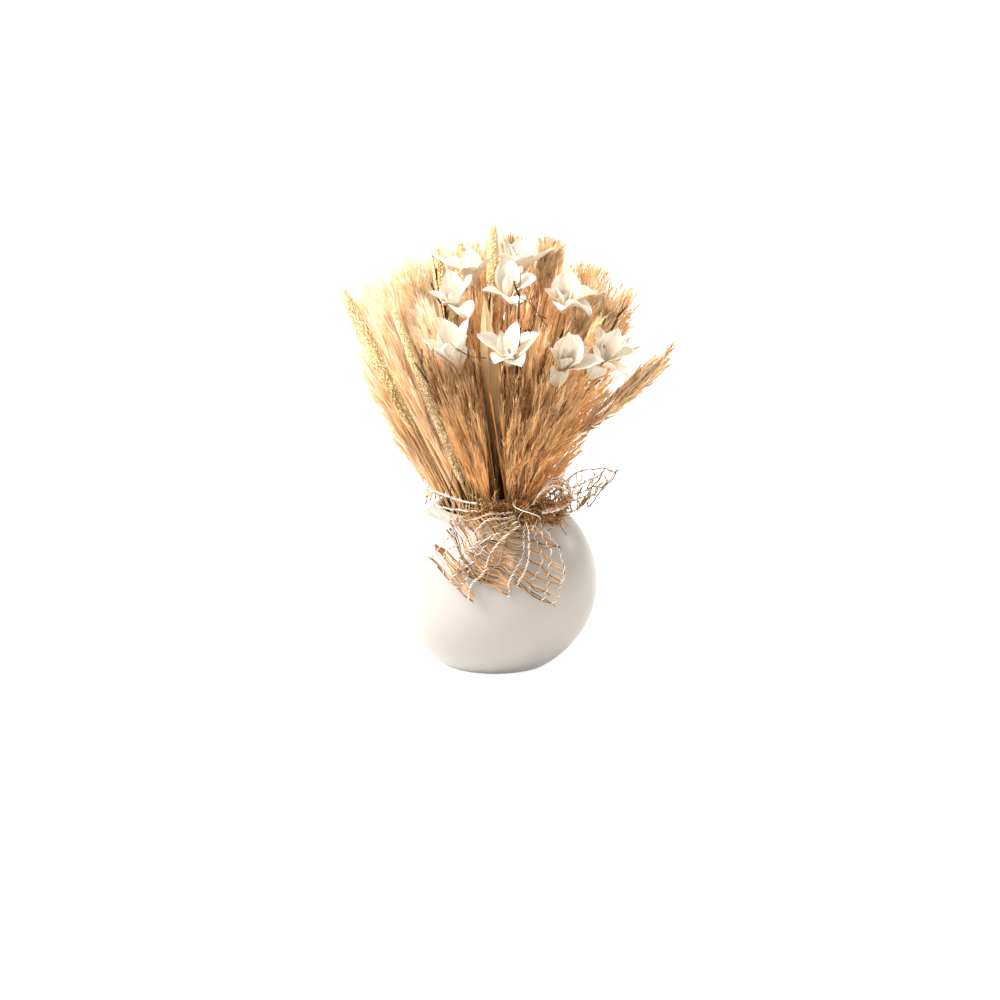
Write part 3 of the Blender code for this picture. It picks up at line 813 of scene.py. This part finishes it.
def down_tuft(seed):
    """Seven fine hairs from one point, for the soft tails."""
    rng = random.Random(seed)
    pattern = Pattern(f"down_tuft_{seed}")
    for i in range(7):
        hair = leaning(i * GOLDEN_TURN, radians(rng.uniform(2.0, 17.0))) @ tall(rng.uniform(6.0, 10.0))
        pattern.add(spindle(), hair, 0.0, 1.0, rng.uniform(0.13, 0.19))
    return pattern.mesh()


def build_bunny_tail(node, seed, stem, downs, look):
    """A soft tail: a core thick with fine hairs that all point up and outwards."""
    rng = random.Random(seed)
    foot, axis, whole, start, radius = thick_head(node)
    side, across = square_to(axis)
    clump = Clump()
    clump.grow(stem, foot, axis, whole - 6.0, chance=0.6, thickness=0.62 / whole)
    count = 250
    for i in range(count):
        share = (i + rng.random()) / count
        direction = spoke(side, across, i * GOLDEN_TURN)
        fullness = min(1.0, 0.35 + 0.9 * share) * sqrt(rng.random())
        base = foot + axis * (start + (whole - start - 8.0) * share) + direction * (radius * 0.75 * fullness)
        grown = spoke(axis, direction, radians(5 + 36 * fullness * rng.uniform(0.6, 1.1)))
        down, size, turned = rng.choice(downs), rng.uniform(0.6, 1.15), rng.uniform(0, 6)
        clump.grow(down, base, grown, size, bend=-direction * 0.006, turn=turned, chance=rng.random())
    clump.finish(node + "_tuft", look, "bunny_tail", [node])


# ---- flowers

# Each flower's petals: (turn from the front, opening, length, width, curl), in degrees and millimetres.
FLOWER_PETALS = {
    "flower_top_left": (
        (190, 8, 19, 11, 0), (100, 30, 18, 7, 10), (-80, 40, 15, 8, 10), (22, 62, 15, 11, 120),
        (-35, 40, 13, 9, 40), (150, 18, 15, 9, 5),
    ),
    "flower_front_left": (
        (180, 10, 24, 12, 0), (-100, 36, 21, 9, 5), (-145, 20, 25, 10, 0), (110, 24, 24, 10, 0),
        (62, 24, 21, 9, 5), (-12, 18, 19, 12, 5), (-62, 28, 18, 10, 10),
    ),
    "flower_front_centre": (
        (-105, 50, 19, 9, 0), (152, 14, 20, 8, 0), (104, 50, 19, 10, 0), (-145, 26, 15, 7, 0),
        (-34, 44, 13, 11, 60), (26, 48, 13, 10, 70),
    ),
    "flower_front_right": (
        (-150, 8, 19, 9, 0), (160, 18, 18, 14, 0), (84, 70, 19, 9, -15), (-82, 42, 14, 7, 0),
        (-15, 78, 12, 8, 110), (110, 38, 16, 10, 0),
    ),
    "flower_right": (
        (180, 8, 20, 11, 0), (-140, 26, 18, 7, 0), (132, 28, 18, 9, 0), (96, 48, 18, 10, 0),
        (68, 76, 16, 11, 10), (-10, 82, 14, 10, 70), (-60, 32, 13, 8, 10),
    ),
    "flower_top_centre": (
        (-150, 14, 20, 12, 0), (170, 4, 19, 10, 0), (100, 36, 17, 13, 40), (-62, 60, 14, 8, 20),
        (20, 52, 14, 12, 100), (130, 22, 17, 10, 0),
    ),
    "flower_top_right": (
        (-150, 16, 18, 9, 0), (172, 12, 18, 13, 0), (112, 40, 18, 11, 60), (60, 58, 16, 11, 90),
        (0, 60, 14, 9, 60), (-82, 52, 13, 7, 0),
    ),
    "flower_back_right": (
        (180, 10, 18, 11, 0), (100, 54, 20, 9, 0), (-120, 30, 17, 10, 0), (30, 36, 15, 11, 20),
        (-58, 44, 15, 9, 20),
    ),
    "flower_back_left": (
        (-90, 60, 22, 6, 0), (-112, 46, 18, 7, 0), (180, 18, 16, 10, 0), (60, 40, 14, 9, 0),
        (-20, 44, 13, 8, 30),
    ),
}


def petal_in(clump, place, rng, length, width, opening, curl):
    """One shaving of wood bent into a petal: a grid cut to a petal's outline, cupped, curled and ruffled."""
    grid = bmesh.ops.create_grid(clump.built, x_segments=8, y_segments=14, size=0.5)["verts"]
    phase = rng.uniform(0, tau)
    skew = rng.uniform(-0.10, 0.10)
    ruffle = rng.uniform(0.4, 1.1)
    cup = rng.uniform(0.20, 0.55)
    blunt = rng.uniform(1.4, 2.8)
    chance = rng.uniform(0.0, 50.0)
    steps = 40

    def bent_at(share):
        return opening * min(1.0, 0.35 + 1.3 * share) + curl * share**2

    track = [Vector((0.0, 0.0))]
    for i in range(steps):
        bent = bent_at(i / steps)
        track.append(track[-1] + Vector((sin(bent), cos(bent))) * length / steps)
    for vert in grid:
        across, share = vert.co.x * 2.0, vert.co.y + 0.5
        reach = min(max(share * (1.0 - 0.07 * abs(across) ** 1.5), 0.0), 1.0)
        rising = min(1.0, reach / 0.55)
        narrowing = max(0.0, (reach - 0.55) / 0.45)
        outline = (0.26 + 0.74 * rising * rising * (3.0 - 2.0 * rising)) * (1.0 - 0.93 * narrowing**blunt)
        half = width / 2 * outline
        k = min(int(reach * steps), steps - 1)
        out, high = track[k].lerp(track[k + 1], reach * steps - k)
        bent = bent_at(reach)
        proud = -cup * half * across**2 + ruffle * across**2 * sin(7.0 * share + phase + 2.0 * across)
        proud += 0.3 * cos(across * 5.5 + phase) + 0.1 * cos(across * 11.0 + phase * 3.0)
        vert[clump.along] = share
        vert[clump.chance] = chance + 0.5 * across
        beside = half * across + skew * length * share**2
        vert.co = place @ Vector((beside, out + proud * cos(bent), high - proud * sin(bent)))
    thicken(clump, grid, 0.34)


def thicken(clump, grid, thickness):
    faces = list({face for vert in grid for face in vert.link_faces})
    bmesh.ops.solidify(clump.built, geom=faces, thickness=thickness)


def build_flower(node, seed, stem, look):
    """Loose petals of shaved wood round three rolled ones, on a stick."""
    rng = random.Random(seed)
    foot, rim = plant_line(node)
    axis, front, side = facing_sides(foot, rim, Vector((0.0, -1.0, 0.15)))
    calyx = foot + axis * ((rim - foot).length - (21.0 if node == "flower_front_left" else 17.5))
    stick = (calyx - foot).length
    clump = Clump()
    clump.grow(stem, foot, axis, stick, thickness=0.62 / stick, tone=-0.5)

    def petal(turn, opening, length, width, curl, inset):
        direction = spoke(front, side, turn)
        matrix = Matrix((direction.cross(axis), direction, axis)).transposed().to_4x4()
        matrix.translation = calyx + direction * inset
        petal_in(clump, matrix, rng, length, width, opening, curl)

    for turn, opening, length, width, curl in FLOWER_PETALS[node]:
        petal(radians(turn), radians(opening), length * 1.08, width * 1.06, radians(curl), 1.0)
    for k in range(3):
        opening, curl = radians(rng.uniform(6, 26)), radians(rng.uniform(-30, 20))
        petal(
            k * 2.1 + rng.uniform(0, 0.8), opening, rng.uniform(9.0, 15.5), rng.uniform(5.0, 7.5), curl, 0.5
        )
    clump.finish(node + "_petals", look, "shaved_wood", [node])


# ---- leaves and twigs

# Each leaf: its node, seed, width and blade length.
LEAVES = (("leaf_centre", 1, 8.5, 92.0), ("leaf_inner", 2, 7.0, 58.0), ("leaf_front_right", 3, 6.0, 50.0))
# Fine loose twigs over the front of the bunch: (turn, height above the mouth) of both ends, and bulge.
FINE_TWIGS = (
    ((232.0, 76.0), (258.0, 46.0), 5.0), ((236.0, 64.0), (254.0, 10.0), 3.0),
    ((250.0, 84.0), (266.0, 80.0), 3.0), ((291.0, 105.0), (300.0, 95.0), 4.0),
    ((297.0, 108.0), (288.0, 90.0), 5.0), ((286.0, 101.0), (299.0, 92.0), -4.0),
    ((243.0, 30.0), (230.0, 6.0), 2.0),
)


def build_leaf(node, seed, width, blade_length, stem, look):
    """A long dry blade folded along its midrib, gently twisted, on its stem."""
    rng = random.Random(seed)
    foot, tip = plant_line(node)
    axis, front, side = facing_sides(foot, tip, outward(tip) * 0.6 + Vector((0.0, -1.0, 0.0)))
    whole = (tip - foot).length
    stalk = whole - blade_length + 6.0
    clump = Clump()
    clump.grow(stem, foot, axis, stalk, chance=0.5, thickness=0.7 / stalk)
    grid = bmesh.ops.create_grid(clump.built, x_segments=10, y_segments=30, size=0.5)["verts"]
    for vert in grid:
        across, share = vert.co.x * 2.0, vert.co.y + 0.5
        half = width / 2 * min(0.3 + share * 2.2, 1.0, ((1.0 - share) * 3.2) ** 0.8 + 0.03)
        twist = 0.5 * sin(share * 2.4 + seed)
        ribs = 0.12 * cos(across * 14.0)
        depth = -abs(across) * half * 0.45 + ribs + 0.5 * sin(share * 9 + seed) * across
        wide_way, proud_way = spoke(side, front, twist), front * cos(twist) - side * sin(twist)
        sway = front * (2.2 * sin(share * 2.6)) + side * rng.uniform(-0.05, 0.05)
        vert[clump.along] = 0.2 + 0.8 * share
        # One half of the blade is painted lighter and the other darker: painted light and shade across its
        # fold.
        vert[clump.chance] = 0.5 + 0.4 * across * sin(seed)
        middle = foot + axis * (whole - blade_length * (1.0 - share))
        vert.co = middle + wide_way * (half * across) + proud_way * depth + sway
    thicken(clump, grid, 0.3)
    clump.finish(node + "_blade", look, "dry_leaf", [node])


def build_fine_twigs(stem, look):
    rng = random.Random(55)
    clump = Clump()

    def on_front(turn, up):
        return level(radians(turn)) * (30.5 + 0.29 * up - 1.2 * max(0.0, up - 85.0)) + UP * (NECK_Z + up)

    for (turn_a, up_a), (turn_b, up_b), bulge in FINE_TWIGS:
        middle = on_front((turn_a + turn_b) / 2 + rng.uniform(-2.0, 2.0), (up_a + up_b) / 2 - bulge) * 1.01
        path = smooth_path([on_front(turn_b, up_b), middle, on_front(turn_a, up_a)])
        clump.follow(stem, path, 0.26, chance=0.5, taper=lambda share: 1.0 - 0.5 * share)
        for share in (0.6, 0.8):
            here = path(share)
            ahead = (path(share + 0.05) - here).normalized()
            fork = ahead + Vector((rng.uniform(-0.8, 0.8), -0.1, rng.uniform(-0.2, 0.8)))
            clump.grow(stem, here, fork, 6.0, chance=0.5, thickness=0.03)
    clump.finish("fine_twigs", look, "twig")


def build_twig(node, seed, stem, look):
    """A crooked thin stick with a fork and small side twigs."""
    rng = random.Random(seed)
    foot, tip = plant_line(node)
    axis = (tip - foot).normalized()
    side, across = square_to(axis)
    clump = Clump()
    points = []
    for i in range(9):
        share = i / 8
        shake = side * rng.uniform(-1, 1) + across * rng.uniform(-1, 1)
        points.append(
            foot + axis * (tip - foot).length * share + shake * (0.0 if share < 0.45 else 0.9 * share)
        )
    path = smooth_path(points)
    clump.follow(stem, path, 0.55, chance=0.3, taper=lambda share: 1.0 - 0.5 * share)
    for i in range(7):
        share = 0.58 + 0.06 * i
        direction = spoke(side, across, rng.uniform(0, tau))
        grown = axis + direction * rng.uniform(0.35, 0.75)
        length = rng.uniform(9.0, 19.0) * (1.25 - share)
        start = path(share)
        bow = direction * rng.uniform(-0.02, 0.012)
        clump.grow(stem, start, grown, length * 1.6, bend=bow, chance=0.3, thickness=0.32 / length)
        twiglet = start + grown.normalized() * length * 0.8 + bow * (length * 0.8) ** 2
        clump.grow(
            stem, twiglet, grown - direction * 1.1, length * 0.6,
            chance=0.4, thickness=0.2 / (length * 0.6),
        )
    clump.finish(node + "_stick", look, "twig", [node])


# ---- jute net ribbon

# Each net of the bow: the middle of its width at places along it, and the way from there to its edge.
LOOP_NET = (
    ((18.0, -38.0, 85.4), (0.6, 3.2, 0.3)), ((22.0, -41.2, 92.0), (1.0, 4.4, 0.5)),
    ((27.5, -41.8, 95.8), (0.6, 4.8, 0.8)), ((33.0, -40.6, 93.6), (-0.4, 4.8, 0.8)),
    ((34.6, -39.8, 88.2), (-0.8, 4.6, 0.5)), ((29.6, -40.2, 84.6), (-0.4, 4.2, 0.2)),
    ((21.4, -39.2, 82.0), (0.2, 3.2, 0.2)),
)
UP_RIGHT_NET = (
    ((21.2, -33.4, 79.2), (0.2, 0.4, 3.0)), ((30.0, -32.4, 84.8), (-1.0, -0.6, 7.0)),
    ((38.0, -30.6, 89.0), (1.5, -1.0, 9.8)), ((45.0, -28.6, 90.2), (4.8, -1.4, 9.8)),
    ((50.5, -26.8, 89.2), (6.5, -1.6, 7.6)),
)
DOWN_RIGHT_NET = (
    ((17.0, -39.9, 76.4), (3.2, 0.6, -0.4)), ((21.5, -44.6, 69.0), (6.2, 1.6, -2.4)),
    ((23.0, -47.6, 60.5), (8.2, 2.6, -4.0)), ((21.4, -50.0, 52.0), (8.8, 3.0, -5.2)),
    ((18.4, -51.2, 44.2), (8.8, 3.0, -5.6)),
)
DOWN_LEFT_NET = (
    ((9.8, -39.6, 78.4), (1.8, -0.8, -2.8)), ((-1.0, -44.0, 74.4), (3.6, -1.2, -6.6)),
    ((-10.6, -46.5, 67.4), (6.8, -2.0, -9.6)), ((-17.0, -47.6, 59.4), (8.8, -2.4, -9.8)),
    ((-20.8, -48.2, 51.0), (9.0, -2.6, -8.6)),
)
FOLD_NET = (
    ((11.0, -38.4, 77.0), (3.0, 0.2, -1.6)), ((6.6, -42.6, 69.4), (7.0, 0.6, -3.4)),
    ((1.6, -45.2, 61.4), (9.4, 0.8, -4.8)), ((-2.6, -47.0, 54.4), (10.6, 0.6, -5.6)),
    ((-4.6, -48.2, 49.4), (11.0, 0.4, -6.0)),
)
# The same nets' strip spacing, threads, seed, ripple, node, and size laid flat in metres.
BOW = (
    ("ribbon_loop_net", LOOP_NET, 2.6, 3, 5, 0.7, "ribbon_loop", (0.010, 0.046)),
    ("ribbon_tail_up_right_net", UP_RIGHT_NET, 3.4, 5, 6, 1.8, "ribbon_tail_up_right", (0.022, 0.042)),
    ("ribbon_tail_down_right_net", DOWN_RIGHT_NET, 5.0, 4, 7, 1.2, "ribbon_tail_down_right", (0.026, 0.042)),
    ("ribbon_tail_down_left_net", DOWN_LEFT_NET, 3.6, 5, 8, 2.6, "ribbon_tail_down_left", (0.027, 0.044)),
    ("ribbon_fold_net", FOLD_NET, 2.3, 3, 11, 1.3, None, (0.026, 0.034)),
)
# The seed of the noise that crumples the nets, so that they lie the same way each time.
NET_NOISE_SEED = 7
BAND_STRIPS = 54


class Net:
    """A strip of jute net: flat jute strips across it, twisted cotton pairs along it."""

    def __init__(self, name, stations, strip_step, threads, seed, ripple, node):
        self.name, self.threads, self.seed, self.ripple, self.node = name, threads, seed, ripple, node
        self.rng = random.Random(seed)
        self.middle = smooth_path([Vector(middle) for middle, _ in stations])
        self.edge = smooth_path([Vector(edge) for _, edge in stations])
        self.length = sum((self.middle((i + 1) / 40) - self.middle(i / 40)).length for i in range(40))
        self.strips = max(3, int(self.length / strip_step))

    def normal(self, v):
        ahead = self.middle(min(v + 0.02, 1.0)) - self.middle(max(v - 0.02, 0.0))
        return ahead.cross(self.edge(v)).normalized()

    def point(self, u, v, lift=0.0):
        """A place on the limp net: u from edge to edge, -1 to 1, and v along it, 0 to 1."""
        place = Vector((u * 1.5, v * 4.5, self.seed * 3.1))
        drift = noise.noise_vector(place) * min(1.0, 3.0 * v + 0.1)
        u += drift.x * 2.2 / max(4.0, self.edge(v).length)
        v = min(max(v + drift.y * 1.7 / self.length, 0.0), 1.0)
        wave = self.ripple * (drift.z * 1.6 + 0.5 * noise.noise(place * 2.3))
        return self.middle(v) + self.edge(v) * u + self.normal(v) * (wave + lift)

    def thread(self, j, turns=0.0, ply=0.0, wide=0.0):
        """The path of lengthwise yarn j, or of a ply that winds round it."""

        def at(share):
            turn = turns * share + ply
            u = -0.93 + 1.86 * j / max(1, self.threads - 1) + 0.07 * sin(share * 11 + j * 2.0)
            reach = max(2.0, self.edge(share).length)
            return self.point(u + wide / reach * cos(turn), share, wide * sin(turn) + 0.35)

        return at

    def strip(self, start, end, v, shift, slant, phase, swing):
        """The path of one jute strip across the net."""

        def at(share):
            u = start + (end - start) * share
            wobble = swing * sin(share * 10 + phase)
            return self.point(u, v + shift + slant * u + wobble / self.length, swing * sin(share * 7 + phase))

        return at

    def build(self, fibre, cotton, jute_look, cotton_look, flat):
        rng = self.rng
        clump = Clump()
        for i in range(self.strips + 1):
            v = 0.03 + 0.93 * min(1.0, max(0.0, (i + rng.uniform(-0.25, 0.25)) / self.strips))
            slant = rng.uniform(-0.05, 0.05)
            under, over = (side * rng.uniform(1.0, 1.14) for side in (-1.0, 1.0))
            for k in range(5):
                loose = k == 4
                shift = ((k - 1.5) * 0.5 + rng.uniform(-0.15, 0.15)) / self.length
                start = under + rng.uniform(-0.06, 0.06) + (
                    rng.uniform(0.2, 1.1) if rng.random() < 0.25 else 0.0
                )
                end = over + rng.uniform(-0.06, 0.06) - (
                    rng.uniform(0.2, 0.8) if rng.random() < 0.25 else 0.0
                )
                path = self.strip(start, end, v, shift, slant, rng.uniform(0, tau), 0.9 if loose else 0.22)
                wide, flatness = (rng.uniform(0.16, 0.24), 0.9) if loose else (rng.uniform(0.2, 0.31), 0.65)
                clump.follow(fibre, path, wide, chance=rng.random(), flat=flatness, facing=self.normal(v))
        for j in range(self.threads):
            clump.follow(fibre, self.thread(j), 0.26, chance=rng.random())
        sheet = clump.finish(self.name, jute_look, "jute", [self.node] if self.node else [], smooth=80)
        clump = Clump()
        turns = tau * self.length / 4.2
        for j in range(self.threads):
            for ply in (0.0, pi):
                clump.follow(cotton, self.thread(j, turns, ply, 0.34), 0.19, chance=rng.random())
        pair = clump.finish(self.name + "_threads", cotton_look, "jute", smooth=80)


def build_band(jute, cotton, fibre, thread):
    """The net round the bunch: three loose cotton pairs, and short jute strips across them."""
    rng = random.Random(12)
    low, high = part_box("ribbon_band")
    outer = (high[0] - low[0]) / 2 / MM
    bottom = low[2] / MM

    def around(turn, up):
        """A point of the band's leaning wall; up is 0 at its lower edge and 1 at its upper edge."""
        height = 14.0 * (0.86 - 0.14 * cos(turn))
        return level(turn) * (outer - 0.6 - 2.6 * up) + UP * (bottom + 0.4 + height * up)

    def strip(turn, lean, top):
        return lambda share: around(turn + lean * share, -0.05 + share * top)

    def round_bunch(part, ply, loop_height):
        """The path of a quarter of one cotton ply."""

        def at(share):
            turn = tau * (part + share) / 4
            twist = turn * BAND_STRIPS / 2 + ply
            point = around(turn, loop_height + 0.035 * sin(turn * 5 + loop_height * 9))
            return point + outward(point) * (0.7 + 0.3 * sin(twist)) + UP * 0.3 * cos(twist)

        return at

    clump = Clump()
    for i in range(BAND_STRIPS):
        turn = tau * (i + rng.uniform(-0.2, 0.2)) / BAND_STRIPS
        if radians(172) < turn < radians(228):
            continue
        for k in range(3):
            top, lean = rng.uniform(0.75, 1.08), rng.uniform(-0.05, 0.05)
            path = strip(turn + (k - 1) * 0.014, lean, top)
            clump.follow(fibre, path, rng.uniform(0.2, 0.3), chance=rng.random(), flat=0.7)
    strips = clump.finish("ribbon_band_net", jute, "jute", ["ribbon_band"], smooth=80)
    clump = Clump()
    for loop_height in (0.16, 0.5, 0.86):
        for part in range(4):
            for ply in (0.0, pi):
                clump.follow(thread, round_bunch(part, ply, loop_height), 0.22, chance=rng.random())
    pairs = clump.finish("ribbon_band_threads", cotton, "jute", smooth=80)


def build_knot(jute, cotton, fibre, thread):
    """The knot: a ball of jute fibres wound every way, crossed by a few cotton threads."""
    rng = random.Random(9)
    low, high = (Vector(corner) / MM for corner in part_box("ribbon_knot"))
    centre, half = (low + high) / 2, (high - low) / 2

    def any_way(x, y, z):
        return Vector((rng.gauss(0, x), rng.gauss(0, y), rng.gauss(0, z)))

    def ring_round(axis, size, wobble):
        side, across = square_to(axis)

        def at(share):
            turn = tau * share * 0.8 + wobble
            away = spoke(side, across, turn) + axis * 0.35 * sin(turn * 1.7)
            return centre + away * half * size

        return at

    clump = Clump()
    # The knot's fibres get low chance values, so they come out darker still: painted shade of the dense
    # windings.
    for _ in range(80):
        path = ring_round(any_way(1, 1, 1).normalized(), rng.uniform(0.72, 1.05), rng.uniform(0, 6))
        clump.follow(fibre, path, rng.uniform(0.22, 0.36), chance=0.7 * rng.random(), flat=0.7)
    for _ in range(330):
        along = rng.uniform(-1.0, 1.0)
        start = centre + Vector((along * 19.0 - 3.0, 1.0 - 2.2 * abs(along), rng.uniform(-6.0, 4.0)))
        start.y = min(start.y, -sqrt(max(0.0, 37.5**2 - start.x**2)))
        aim = Vector((
            rng.gauss(0.0, 0.7) + along, -abs(rng.gauss(0.35, 0.3)), rng.gauss(0.25, 0.8)
        )).normalized()
        reach = rng.uniform(4.0, 10.0)
        path = smooth_path([start, start + aim * reach / 2 + any_way(1, 0.4, 1) * 1.6, start + aim * reach])
        clump.follow(fibre, path, rng.uniform(0.2, 0.34), chance=0.85 * rng.random(), flat=0.7)
    clump.finish("ribbon_knot_wrap", jute, "jute", ["ribbon_knot"], smooth=80)
    clump = Clump()
    for _ in range(2):
        path = ring_round(any_way(1, 0.4, 1).normalized(), rng.uniform(1.05, 1.3), rng.uniform(0, 6))
        clump.follow(thread, path, 0.22, chance=rng.random())
    clump.finish("ribbon_knot_threads", cotton, "jute", smooth=80)


def build_ribbon(looks):
    noise.seed_set(NET_NOISE_SEED)
    jute, cotton = looks["jute"], looks["cotton_thread"]
    fibre = one_shape("jute_fibre", strand(4, 13, tip=0.7))
    thread = one_shape("cotton_ply", strand(4, 71, tip=0.9))
    for name, stations, step, threads, seed, ripple, node, flat in BOW:
        net = Net(name, stations, step, threads, seed, ripple, node)
        net.build(fibre, thread, jute, cotton, flat)
    build_band(jute, cotton, fibre, thread)
    build_knot(looks["knot_jute_shaded"], cotton, fibre, thread)


# ---- studio


def build_floor():
    """A pale floor that is as bright as the background far off and keeps the vase's soft shadow."""
    built = bmesh.new()
    bmesh.ops.create_grid(built, x_segments=1, y_segments=1, size=6.0)
    floor = put_in_scene("studio_floor", mesh_of("studio_floor", built))
    look, tree, shader = plain_material("studio_floor", 0.9, specular=0.0)
    rays = add_node(tree, "LightPath")
    seen = worked_out(tree, "MAXIMUM", rays["Is Camera Ray"], rays["Is Glossy Ray"])
    distance = add_node(tree, "VectorMath", {0: place_in(tree)}, operation="LENGTH")["Value"]
    far = ranged(tree, distance, 0.1, 0.7, 0.78, 1.0, interpolation="SMOOTHSTEP")
    added = worked_out(tree, "MULTIPLY", seen, far)
    white = (1.0, 1.0, 1.0)
    feed(
        tree, shader,
        {"Base Color": (0.80, 0.79, 0.78), "Emission Color": white, "Emission Strength": added},
    )
    floor.data.materials.append(look)


def aimed(name, data, place, aim):
    thing = put_in_scene(name, data)
    thing.location = place
    thing.rotation_euler = (aim - thing.location).to_track_quat("-Z", "Y").to_euler()
    return thing


def add_softbox(name, place, size, power, colour):
    light = bpy.data.lights.new(name, "AREA")
    light.shape, light.size, light.energy, light.color = "DISK", size, power, colour
    aimed(name, light, place, Vector((0.0, 0.0, 0.1)))


def build_studio():
    build_floor()
    add_softbox("key_softbox", (-1.2, -0.4, 1.25), 1.0, 50.0, (1.0, 0.98, 0.95))
    add_softbox("rim_softbox", (1.25, 0.66, 0.62), 0.22, 2.4, (1.0, 1.0, 1.0))
    add_softbox("back_softbox", (0.1, 1.1, 1.35), 0.9, 20.0, (1.0, 0.97, 0.92))
    world = bpy.data.worlds.new("studio")
    world.use_nodes = True
    tree = world.node_tree
    seen = add_node(tree, "LightPath")["Is Camera Ray"]
    feed(tree, tree.nodes["Background"], {"Color": mixed(tree, seen, (0.64, 0.61, 0.565), (1.0, 1.0, 1.0))})
    bpy.context.scene.world = world
    bpy.context.scene.view_settings.view_transform = "Standard"


def build_camera():
    """A long lens a little above the table, as far back as a product picture is taken."""
    distance, frame_width = 2.5, 0.463
    aim = Vector((0.0023, 0.0, 0.0765))
    camera = bpy.data.cameras.new("camera")
    camera.sensor_width = 36.0
    camera.lens = camera.sensor_width * distance / frame_width
    place = aim + Vector((0.0, -cos(CAMERA_TILT), sin(CAMERA_TILT))) * distance
    bpy.context.scene.camera = aimed("camera", camera, place, aim)


def main():
    build_camera()
    build_studio()
    build_vase()
    group = dried_plant_group()
    looks = {name: dried_material(group, name, *finish) for name, finish in DRIED_FINISHES.items()}
    stem = one_shape("stem", strand(6, 6, tip=0.7))
    reeds, shown, hearts = build_grasses(looks, stem)
    build_straws(looks, stem, shown, hearts)
    build_leaning_plume(looks["pale_reed"], reeds, stem)
    ball = bmesh.new()
    bmesh.ops.create_icosphere(ball, subdivisions=1, radius=1.0, matrix=raised_by(0.4))
    grain = one_shape("millet_grain", ball, Matrix(), 0.3, 0.8)
    bristle = one_shape("bristle", strand(3, 0, tip=0.2), tall(2.6), 0.6, 1.0, 0.07)
    downs = [down_tuft(seed) for seed in range(4)]
    for kind, seed, build, given in (
        ("millet", 300, build_millet, (grain, bristle, looks["millet"])),
        ("bunny_tail", 400, build_bunny_tail, (downs, looks["bunny_tail"])),
        ("flower", 500, build_flower, (shaved_wood_material(),)),
    ):
        for i, node in enumerate(nodes_named(kind)):
            build(node, seed + i, stem, *given)
    for node, seed, width, blade_length in LEAVES:
        build_leaf(node, seed, width, blade_length, stem, looks["dry_leaf"])
    for i, node in enumerate(nodes_named("twig")):
        build_twig(node, 600 + i, stem, looks["twig"])
    build_fine_twigs(stem, looks["twig"])
    build_ribbon(looks)


main()
